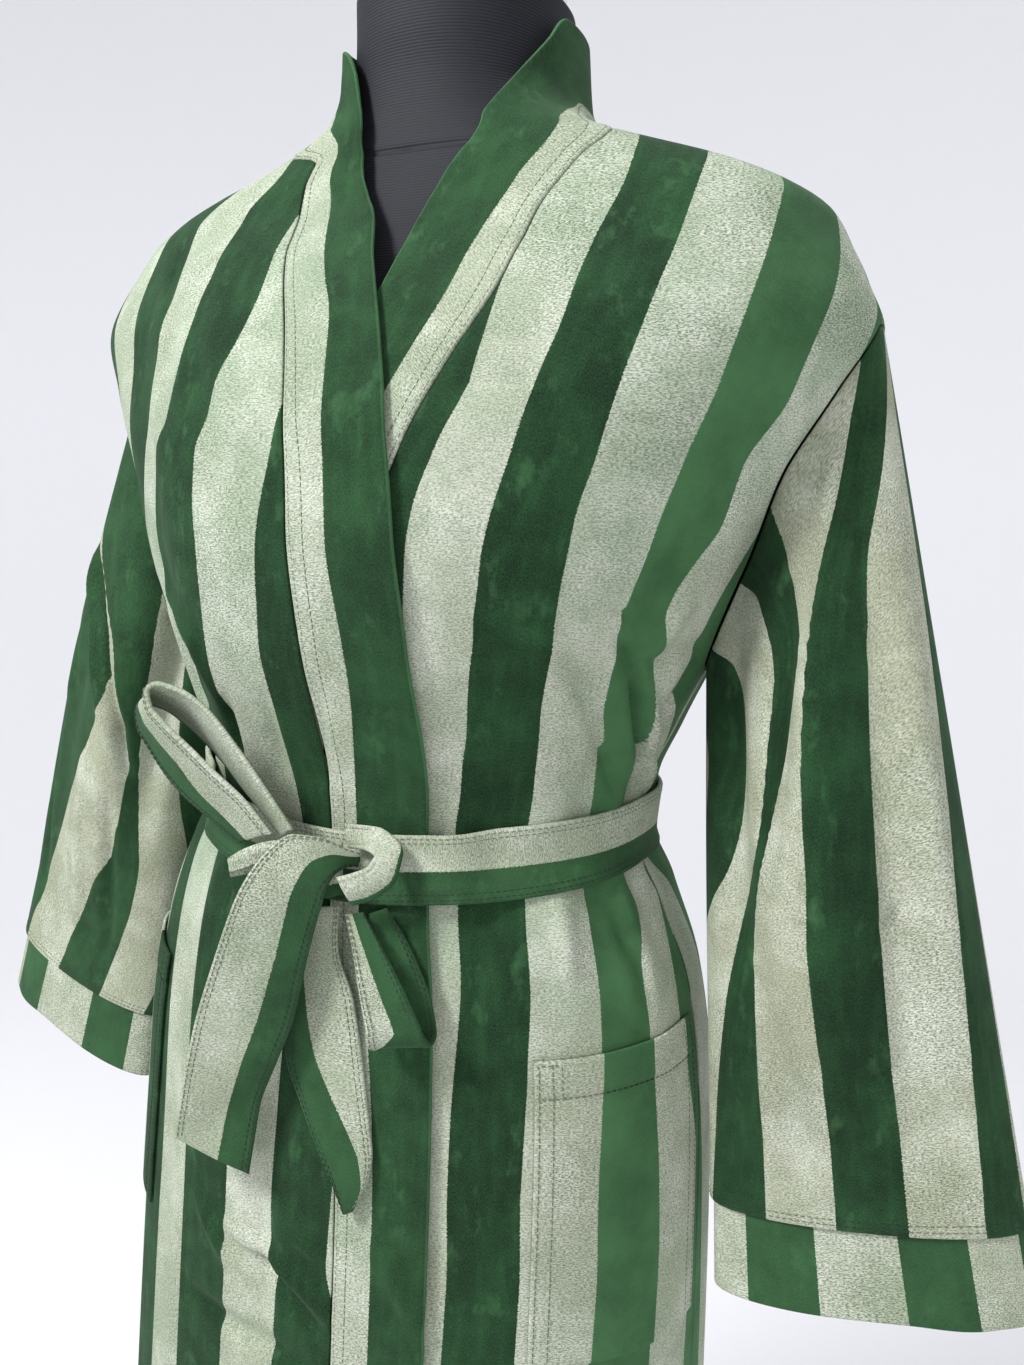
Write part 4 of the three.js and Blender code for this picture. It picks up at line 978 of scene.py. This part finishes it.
# Where each strap's two stripes meet, edge a to edge b, by place along it, and whether beige lies
# on the b side.
STRAP_SHARES = {
    "knot_core": ((0, 2), (0.75, 0.75), True),
    "knot_wrap": ((0, 2, 3, 6), (1.1, 1.05, 0.86, 0.8), True),
    "knot_roll": ((0, 3), (1.2, 1.2), True),
    "loop_upper": ((0, 5, 7, 9, 12), (0.9, 0.9, 0.55, 0.55, 0.75), True),
    "loop_lower": ((0, 3, 4, 8), (0.35, 0.5, 0.1, 0.0), True),
    "tail_front": ((0, 2, 3, 4, 5, 7, 9, 11), (0.3, 0.5, 0.55, 0.6, 0.6, 0.66, 0.62, 0.6), True),
    "tail_back": ((0, 1, 3, 5, 7), (0.1, 0.15, 0.4, 0.75, 0.9), False),
}
STRAPS = {
    "knot_core": (KNOT_CORE, 7.6, 29, 0),
    "knot_wrap": (KNOT_WRAP, 3.0, 17, 0.8),
    "knot_roll": (KNOT_ROLL, 7.9, 15, 0),
    "loop_upper": (LOOP_UPPER, 3.0, 40, 1.0),
    "loop_lower": (LOOP_LOWER, 3.0, 33, 0.8),
    "tail_front": (TAIL_FRONT, 3.0, 50, 0.8),
    "tail_back": (TAIL_BACK, 3.0, 42, 0.6),
}


def make_bow():
    for name, (rows, thickness, width, crown) in STRAPS.items():
        *shares, beige_first = STRAP_SHARES[name]
        make_strap(name, rows, thickness, shares, beige_first, width, crown)


# Dress form.
FORM_SECTIONS = np.array([
    (700, 166, 108, 118, 0, 4), (830, 174, 113, 127, 0, 4), (900, 170, 111, 120, 0, 3),
    (950, 159, 106, 110, 0, 2), (1000, 140, 98, 97, 0, 0), (1035, 130, 93, 90, 0, 0),
    (1060, 132, 96, 91, 0, 0), (1100, 142, 108, 95, 0, 0), (1150, 156, 127, 101, 0, 0),
    (1200, 166, 138, 106, 0, 0), (1240, 172, 137, 109, 0, 0), (1280, 178, 126, 110, 0, 0),
    (1317, 184, 109, 107, 0, 0), (1340, 187, 96, 101, 0, 0), (1355, 188, 87, 96, 0, 0),
    (1372, 188, 78, 90, 0, 0), (1386, 184, 72, 84, 1, 0), (1396, 170, 68, 79, 2, 0),
    (1404, 144, 65, 76, 3, 0), (1412, 116, 63, 73, 3, 0), (1420, 91, 61, 70, 3, 0),
    (1432, 72, 59, 66, 2, 0), (1450, 63, 58, 62, 0, 0), (1475, 61, 60, 61, 0, 0),
    (1500, 62, 61, 62, 0, 0),
], float)
NECK_SEAM_Z = 1406.0


def make_form():
    curves = [track(FORM_SECTIONS[:, 0], FORM_SECTIONS[:, k]) for k in (1, 2, 3, 4, 5)]
    z = np.concatenate([np.linspace(700, 1330, 60)[:-1], np.linspace(1330, 1500, 120)])[:, None]
    angle = np.linspace(-180, 180, 241)[:-1][None, :]
    angle, z = np.broadcast_arrays(angle, z)
    s, c = np.sin(angle * DEG), np.cos(angle * DEG)
    depth = np.where(c > 0, curves[1](z), curves[2](z))
    x = curves[3](z) + curves[0](z) * power(s, 2 / ROUNDNESS)
    y = curves[4](z) - depth * power(c, 2 / ROUNDNESS)
    points = np.stack([x, y, z], -1)
    normal = grid_normals(points, True)
    seam_z = NECK_SEAM_Z + 8 * (1 - np.abs(c))
    groove = -1.6 * np.exp(-(((z - seam_z) / 1.3) ** 2))
    middle = -0.8 * np.exp(-((angle / 0.8) ** 2)) * (z < seam_z)
    points = points + normal * (groove + middle)[..., None]
    rows, columns = points.shape[:2]
    flat = np.concatenate([points.reshape(-1, 3), [[0, 0, 700], [0, 0, 1500]]])
    index = np.arange(rows * columns).reshape(rows, columns)
    nxt = np.roll(index, -1, 1)
    quads = np.stack([index[:-1], nxt[:-1], nxt[1:], index[1:]], -1).reshape(-1, 4)
    # The flat ends, as narrow quads that share the middle point.
    ends = [np.stack([nxt[0], index[0], 0 * index[0] + rows * columns], -1),
        np.stack([index[-1], nxt[-1], 0 * index[0] + rows * columns + 1], -1)]
    mesh = bpy.data.meshes.new("form_body")
    faces = quads.tolist() + ends[0].tolist() + ends[1].tolist()
    mesh.from_pydata((flat * MM).tolist(), [], faces)
    mesh.update()
    mesh.polygons.foreach_set("use_smooth", np.arange(len(faces)) < len(quads))
    obj = bpy.data.objects.new("form_body", mesh)
    bpy.context.collection.objects.link(obj)
    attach(obj, "root")
    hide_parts("dress_form")
    return obj


# Stitching.
def stitch_line(points, normals, facts, length=2.5, gap=1.0, width=0.34, height=0.30):
    """Short raised threads along a line of surface points."""
    steps = np.linalg.norm(np.diff(points, axis=0), axis=-1)
    run = np.concatenate([[0], np.cumsum(steps)])
    count = int(run[-1] // (length + gap))
    starts = np.arange(count) * (length + gap) + gap / 2
    shares = np.array([0, 0.2, 0.8, 1.0])
    swell = np.array([0.25, 1.0, 1.0, 0.25])
    at = starts[:, None] + length * shares[None, :]
    pick = lambda values: np.stack([np.interp(at, run, values[:, n]) for n in range(values.shape[1])], -1)
    centre = pick(points)
    normal = unit(pick(normals))
    ahead = unit(centre[:, -1:] - centre[:, :1]) + 0 * centre
    side = unit(np.cross(ahead, normal))
    rings = []
    for a in (0, 60, 120, 180, 240, 300):
        offset = side * math.cos(a * DEG) * width + normal * math.sin(a * DEG) * height
        rings.append(centre + offset * swell[None, :, None])
    verts = np.stack(rings, 2).reshape(-1, 3)
    fact = np.repeat(np.interp(at, run, facts).reshape(-1), 6)
    base = (np.arange(count) * 24)[:, None, None, None]
    ring = np.arange(3)[None, :, None, None] * 6
    j = np.arange(6)[None, None, :, None]
    quad = np.concatenate([j, (j + 1) % 6, (j + 1) % 6 + 6, j + 6], -1)
    return verts, (base + ring + quad).reshape(-1, 4), fact


def stitches(name, lines):
    points, faces, facts = [], [], []
    total = 0
    for line_points, line_normals, line_facts in lines:
        v, f, s = stitch_line(line_points, line_normals, line_facts)
        points.append(v)
        faces.append(f + total)
        facts.append(s)
        total += len(v)
    obj = mesh_object(name, np.concatenate(points), np.concatenate(faces))
    layer = obj.data.attributes.new("stripe", "FLOAT", "POINT")
    layer.data.foreach_set("value", np.concatenate(facts).astype(np.float32))
    obj.data.materials.append(THREAD)
    return obj


BAND_ROWS = (2.0, 7.8)
EDGE_ROWS = (1.9, 4.6)


def band_rows(curves, lifted):
    k = np.linspace(0.02, curves.last - 0.02, 1500)
    lines = []
    for far in BAND_ROWS:
        t = far / BAND_WIDTH + 0 * k
        points, angle, z, _ = band_surface(curves, k, t, lifted, 0.05)
        share = track(*((LEFT_SHARE if curves is band_left else RIGHT_SHARE)[:, n] for n in (0, 1)))(k)
        lines.append((points, body_normal(angle, z),
            np.minimum(1.97, 1 - (share - t) * BAND_WIDTH / STRIPE_PITCH)))
    return lines


def pocket_rows(side):
    """The hem's row under the mouth, both sides' rows, and the small closed bar at the mouth."""
    long = POCKET_MOUTH - POCKET_BOTTOM
    runs = [((2.5, POCKET_HEM), (92.5, POCKET_HEM))]
    runs += [((far, 1.5), (far, long - 1.5)) for far in (2.0, 8.0)]
    runs += [((POCKET_WIDTH - far, 1.5), (POCKET_WIDTH - far, long - 1.5)) for far in (2.0, 8.0)]
    runs += [((12.0, 2.5), (12.0, POCKET_HEM)), ((2.5, 2.5), (12.0, 2.5))]
    lines = []
    for (u0, v0), (u1, v1) in runs:
        share = np.linspace(0, 1, max(12, int(math.hypot(u1 - u0, v1 - v0))))
        t, drop = mix(u0, u1, share) / POCKET_WIDTH, mix(v0, v1, share)
        raised = 0.5 * smooth((POCKET_HEM - drop) / 1.5)
        points, angle, z, u = pocket_surface(side, t, drop, 0.7 + 2.0 + raised)
        lines.append((points, body_normal(angle, z), front_stripes(u, z, side)))
    return lines


def ring_rows(side, table, offset):
    around = np.linspace(SLEEVE_SEAM + 0.5, SLEEVE_SEAM + 359.5, 500)[None, :]
    lines = []
    for up in (3.4, 6.8):
        along = np.full((1, 1), 1 - up / SLEEVE_LENGTH) + 0 * around
        points, _, _ = sleeve_grid(side, around, along, 0.05)
        inner, _, _ = sleeve_grid(side, around, along, -3.0)
        stripe = ring_stripes(points, around, along, table, offset)
        lines.append((points[0], unit(points - inner)[0], stripe[0]))
    return lines


def strap_rows(name, rows, thickness, width, crown):
    """Rows near both edges of a strap, on both its faces."""
    last = len(rows) - 1
    k = np.linspace(0.03, last - 0.03, 400)[:, None]
    lines = []
    for far in EDGE_ROWS:
        for t0 in (far / width, 1 - far / width):
            t = np.stack([t0 - 0.02, t0, t0 + 0.02]) + 0 * k
            kk = k + 0 * t
            mid = strap_surface(rows, kk, t)
            normal = grid_normals(mid, False)[:, 1]
            share = np.interp(k[:, 0], STRAP_SHARES[name][0], STRAP_SHARES[name][1])
            sign = 1 if STRAP_SHARES[name][2] else -1
            stripe = 1 + sign * (t0 - share) * width / STRIPE_PITCH
            facing = np.sign((normal * (np.array(EYE) * 1000 - mid[:, 1])).sum(-1).mean())
            lift = crown * math.sin(math.pi * t0) * facing
            for way in (1, -1):
                lines.append((mid[:, 1] + normal * (lift + way * (thickness / 2 - 0.05)), normal * way,
                    stripe))
    return lines


def belt_rows():
    angle = np.linspace(-180, 179.9, 900)
    lines = []
    for far in EDGE_ROWS:
        for t0 in (far / BELT_WIDTH, 1 - far / BELT_WIDTH):
            points = belt_surface(angle, t0 + 0 * angle, BELT_THICKNESS - 0.05)
            stripe = 1 - (t0 - 0.42) * BELT_WIDTH / STRIPE_PITCH + 0 * angle
            lines.append((points, body_normal(angle, points[:, 2]), stripe))
    return lines


# Materials.
def node_material(name):
    material = bpy.data.materials.new(name)
    material.use_nodes = True
    tree = material.node_tree
    shader = tree.nodes["Principled BSDF"]
    return material, tree, shader


def add(tree, kind, **settings):
    node = tree.nodes.new(kind)
    for key, value in settings.items():
        setattr(node, key, value)
    return node


def math_node(tree, operation, a, b=None):
    node = add(tree, "ShaderNodeMath", operation=operation)
    for slot, value in zip(node.inputs, (a, b)):
        if value is None:
            continue
        if isinstance(value, (int, float)):
            slot.default_value = value
        else:
            tree.links.new(value, slot)
    return node.outputs[0]


def noise(tree, vector, scale, detail, roughness=0.55):
    node = add(tree, "ShaderNodeTexNoise")
    node.inputs["Scale"].default_value = scale
    node.inputs["Detail"].default_value = detail
    node.inputs["Roughness"].default_value = roughness
    tree.links.new(vector, node.inputs["Vector"])
    return node.outputs["Fac"]


def scaled(tree, vector, size):
    node = add(tree, "ShaderNodeMapping")
    node.inputs["Scale"].default_value = size
    tree.links.new(vector, node.inputs["Vector"])
    return node.outputs["Vector"]


def ramp(tree, value, low, high, to_low=0.0, to_high=1.0):
    node = add(tree, "ShaderNodeMapRange")
    node.inputs["From Min"].default_value = low
    node.inputs["From Max"].default_value = high
    node.inputs["To Min"].default_value = to_low
    node.inputs["To Max"].default_value = to_high
    tree.links.new(value, node.inputs["Value"])
    return node.outputs["Result"]


def blend_colour(tree, share, a, b):
    node = add(tree, "ShaderNodeMix", data_type="RGBA")
    tree.links.new(share, node.inputs["Factor"])
    for slot, value in ((node.inputs[6], a), (node.inputs[7], b)):
        if isinstance(value, tuple):
            slot.default_value = value + (1.0,)
        else:
            tree.links.new(value, slot)
    return node.outputs[2]


def srgb(r, g, b):
    return tuple(((v / 255 + 0.055) / 1.055) ** 2.4 if v > 10 else v / 255 / 12.92 for v in (r, g, b))


def stripe_parity(tree, fuzz):
    stripe = add(tree, "ShaderNodeAttribute", attribute_name="stripe").outputs["Fac"]
    value = math_node(tree, "ADD", stripe, fuzz) if fuzz is not None else stripe
    even = math_node(tree, "FLOORED_MODULO", value, 2.0)
    return math_node(tree, "LESS_THAN", even, 1.0)


def velvet_material():
    material, tree, shader = node_material("striped_velvet")
    weave = add(tree, "ShaderNodeAttribute", attribute_name="weave").outputs["Vector"]
    parts = add(tree, "ShaderNodeSeparateXYZ")
    tree.links.new(add(tree, "ShaderNodeAttribute", attribute_name="look").outputs["Vector"],
        parts.inputs[0])
    painted_sheen, rough, warm = parts.outputs
    place = add(tree, "ShaderNodeTexCoord").outputs["Object"]
    fine = noise(tree, scaled(tree, weave, (0.9, 0.9, 1)), 1.0, 3.0, 0.6)
    beige_here = stripe_parity(tree, ramp(tree, fine, 0.2, 0.8, -0.016, 0.016))

    # Green: a dark ground, crushed in clouds and streaks, with painted sheen: a lighter green where the
    # look's first value is high.
    clouds = noise(tree, place, 24.0, 5.0, 0.65)
    streaks = noise(tree, scaled(tree, weave, (0.16, 0.035, 1)), 1.0, 3.0, 0.55)
    crushed = math_node(tree, "ADD", ramp(tree, clouds, 0.4, 0.72, 0.0, 0.6),
        ramp(tree, streaks, 0.45, 0.8, 0.0, 0.4))
    green = blend_colour(tree, crushed, srgb(10, 34, 19), srgb(36, 74, 43))
    marks = noise(tree, scaled(tree, place, (1, 1, 0.55)), 60.0, 3.0, 0.7)
    green = blend_colour(tree, ramp(tree, marks, 0.58, 0.8, 0.0, 0.35), green, srgb(84, 132, 88))
    # Painted sheen: the green is lightened where the painted sheen value is high.
    lit = math_node(tree, "MULTIPLY", painted_sheen, ramp(tree, clouds, 0.3, 0.62, 0.55, 1.0))
    green = blend_colour(tree, lit, green, srgb(66, 106, 69))
    pile = noise(tree, scaled(tree, weave, (1.5, 0.9, 1)), 1.0, 2.0, 0.6)
    green = blend_colour(tree, ramp(tree, pile, 0.35, 0.7, 0.0, 0.16), green, srgb(96, 134, 92))

    # Beige: heathered, with short dark flecks across the stripe and a cool green cast in places.
    cast = noise(tree, place, 8.0, 4.0, 0.6)
    beige = blend_colour(tree, ramp(tree, cast, 0.36, 0.66, 0.0, 1.0), srgb(182, 185, 166),
        srgb(160, 176, 152))
    beige = blend_colour(tree, math_node(tree, "MULTIPLY", rough, 0.6), beige, srgb(158, 174, 150))
    beige = blend_colour(tree, warm, beige, srgb(174, 171, 148))
    worn = noise(tree, place, 19.0, 5.0, 0.65)
    beige = blend_colour(tree, ramp(tree, worn, 0.44, 0.68, 0.0, 0.75), beige, srgb(216, 219, 205))
    flecks = noise(tree, scaled(tree, weave, (0.62, 1.5, 1)), 1.0, 3.0, 0.75)
    weft = noise(tree, scaled(tree, weave, (0.12, 0.9, 1)), 1.0, 3.0, 0.7)
    depth = ramp(tree, noise(tree, place, 15.0, 3.0, 0.6), 0.32, 0.68, 0.65, 1.0)
    depth = math_node(tree, "MULTIPLY", depth, ramp(tree, rough, 0.0, 1.0, 0.62, 1.0))
    speck = math_node(tree, "MULTIPLY", ramp(tree, flecks, 0.46, 0.57, 0.0, 1.0), depth)
    beige = blend_colour(tree, speck, beige, srgb(60, 76, 57))
    thread = math_node(tree, "MULTIPLY", ramp(tree, weft, 0.48, 0.64, 0.0, 0.7), depth)
    beige = blend_colour(tree, thread, beige, srgb(120, 136, 112))

    tree.links.new(blend_colour(tree, beige_here, green, beige), shader.inputs["Base Color"])
    shader.inputs["Roughness"].default_value = 0.92
    shader.inputs["Specular IOR Level"].default_value = 0.12
    shader.inputs["Sheen Weight"].default_value = 0.12
    shader.inputs["Sheen Roughness"].default_value = 0.35
    shader.inputs["Sheen Tint"].default_value = srgb(176, 206, 176) + (1.0,)
    bump = add(tree, "ShaderNodeBump")
    bump.inputs["Strength"].default_value = 0.5
    bump.inputs["Distance"].default_value = 0.0008
    heights = math_node(tree, "ADD", math_node(tree, "MULTIPLY", fine, 0.6), flecks)
    heights = math_node(tree, "ADD", heights, math_node(tree, "MULTIPLY", marks, 1.5))
    tree.links.new(heights, bump.inputs["Height"])
    tree.links.new(bump.outputs["Normal"], shader.inputs["Normal"])
    return material


def thread_material():
    material, tree, shader = node_material("thread")
    colour = blend_colour(tree, stripe_parity(tree, None), srgb(12, 32, 18), srgb(96, 104, 84))
    tree.links.new(colour, shader.inputs["Base Color"])
    shader.inputs["Roughness"].default_value = 0.7
    return material


def form_material():
    material, tree, shader = node_material("ribbed_black_cover")
    place = add(tree, "ShaderNodeTexCoord").outputs["Object"]
    wave = add(tree, "ShaderNodeTexWave", wave_type="BANDS", bands_direction="Z")
    wave.inputs["Scale"].default_value = 190.0
    wave.inputs["Distortion"].default_value = 0.6
    wave.inputs["Detail"].default_value = 2.0
    wave.inputs["Detail Scale"].default_value = 0.4
    tree.links.new(place, wave.inputs["Vector"])
    colour = blend_colour(tree, wave.outputs["Fac"], srgb(15, 16, 22), srgb(26, 28, 36))
    tree.links.new(colour, shader.inputs["Base Color"])
    shader.inputs["Roughness"].default_value = 0.72
    shader.inputs["Specular IOR Level"].default_value = 0.3
    bump = add(tree, "ShaderNodeBump")
    bump.inputs["Strength"].default_value = 0.3
    bump.inputs["Distance"].default_value = 0.0004
    tree.links.new(wave.outputs["Fac"], bump.inputs["Height"])
    tree.links.new(bump.outputs["Normal"], shader.inputs["Normal"])
    return material


def chrome_material():
    material, _, shader = node_material("polished_chrome")
    shader.inputs["Base Color"].default_value = (0.78, 0.79, 0.8, 1)
    shader.inputs["Metallic"].default_value = 1.0
    shader.inputs["Roughness"].default_value = 0.16
    return material


THREAD = thread_material()
VELVET = velvet_material()
FORM = form_material()
CHROME = chrome_material()

make_front("cloth_front_left", band_left, 1)
make_front("cloth_front_right", band_right, -1)
make_back()
make_band("cloth_band_left", band_left, LEFT_SHARE, False, 1)
make_band("cloth_band_right", band_right, RIGHT_SHARE, True, -1)
make_sleeve("cloth_sleeve_left", 1, NEAR_SLEEVE, 1, NEAR_CREASES)
make_sleeve("cloth_sleeve_right", -1, FAR_SLEEVE, -3, FAR_CREASES)
make_cuff("cloth_cuff_left", 1, NEAR_CUFF)
make_cuff("cloth_cuff_right", -1, FAR_CUFF)
make_pocket("cloth_pocket_left", 1)
make_pocket("cloth_pocket_right", -1)
make_belt()
make_bow()
for piece in PIECES.values():
    piece.data.materials.append(VELVET)
stitches("stitches_band_left", band_rows(band_left, False))
stitches("stitches_band_right", band_rows(band_right, True))
stitches("stitches_pocket_left", pocket_rows(1))
stitches("stitches_pocket_right", pocket_rows(-1))
stitches("stitches_sleeve_left", ring_rows(1, NEAR_SLEEVE, 1))
stitches("stitches_sleeve_right", ring_rows(-1, FAR_SLEEVE, -3))
stitches("stitches_belt", belt_rows())
for name in ("loop_upper", "loop_lower", "tail_front", "tail_back"):
    stitches("stitches_" + name, strap_rows(name, *STRAPS[name]))
make_form().data.materials.append(FORM)
for node in ("neck_cap", "pole", "base"):
    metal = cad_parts[node]
    metal.data.materials.clear()
    metal.data.materials.append(CHROME)


# Stage and light.
def plain_material(name, colour, glow):
    material, _, shader = node_material(name)
    shader.inputs["Base Color"].default_value = colour + (1.0,)
    shader.inputs["Emission Color"].default_value = colour + (1.0,)
    shader.inputs["Emission Strength"].default_value = glow
    shader.inputs["Roughness"].default_value = 0.95
    shader.inputs["Specular IOR Level"].default_value = 0.1
    return material


def make_stage():
    """A pale floor that curves up into a round backdrop."""
    profile = [(0.0, 0.0), (2.4, 0.0)]
    profile += [(2.4 + 1.6 * math.sin(a * DEG), 1.6 - 1.6 * math.cos(a * DEG)) for a in range(10, 100,
        10)]
    profile += [(4.0, 5.5)]
    columns = 72
    points = [(0.0, 0.0, -0.0005)]
    for radius, height in profile[1:]:
        for i in range(columns):
            a = i * 2 * math.pi / columns
            points.append((radius * math.cos(a), radius * math.sin(a), height - 0.0005))
    faces = [(0, 1 + i, 1 + (i + 1) % columns) for i in range(columns)]
    for j in range(len(profile) - 2):
        for i in range(columns):
            a, b = 1 + j * columns + i, 1 + j * columns + (i + 1) % columns
            faces.append((a, a + columns, b + columns, b))
    mesh = bpy.data.meshes.new("backdrop")
    mesh.from_pydata(points, [], faces)
    mesh.polygons.foreach_set("use_smooth", [True] * len(faces))
    obj = bpy.data.objects.new("backdrop", mesh)
    bpy.context.collection.objects.link(obj)
    mesh.materials.append(plain_material("pale_backdrop", srgb(226, 226, 229), 0.2))


def softbox(name, place, aim, size, power_w, colour=(1, 1, 1)):
    data = bpy.data.lights.new(name, "AREA")
    data.shape = "DISK"
    data.size = size
    data.energy = power_w
    data.color = colour
    obj = bpy.data.objects.new(name, data)
    bpy.context.collection.objects.link(obj)
    direction = np.asarray(aim, float) - np.asarray(place, float)
    z = -direction / np.linalg.norm(direction)
    x = unit(np.cross([0, 0, 1], z))
    y = np.cross(z, x)
    obj.matrix_world = Matrix([(x[i], y[i], z[i], place[i]) for i in range(3)] + [(0, 0, 0, 1)])


make_stage()
world = bpy.data.worlds.new("studio")
bpy.context.scene.world = world
world.use_nodes = True
world.node_tree.nodes["Background"].inputs["Color"].default_value = (0.89, 0.9, 0.92, 1)
world.node_tree.nodes["Background"].inputs["Strength"].default_value = 0.5
softbox("key", (-1.0, -1.5, 2.6), (0.0, 0.0, 1.1), 0.6, 70)
softbox("fill", (1.9, -1.9, 1.5), (0.0, 0.0, 1.1), 1.2, 14)
softbox("top", (0.3, 0.4, 2.9), (0.0, 0.0, 1.2), 1.0, 9)
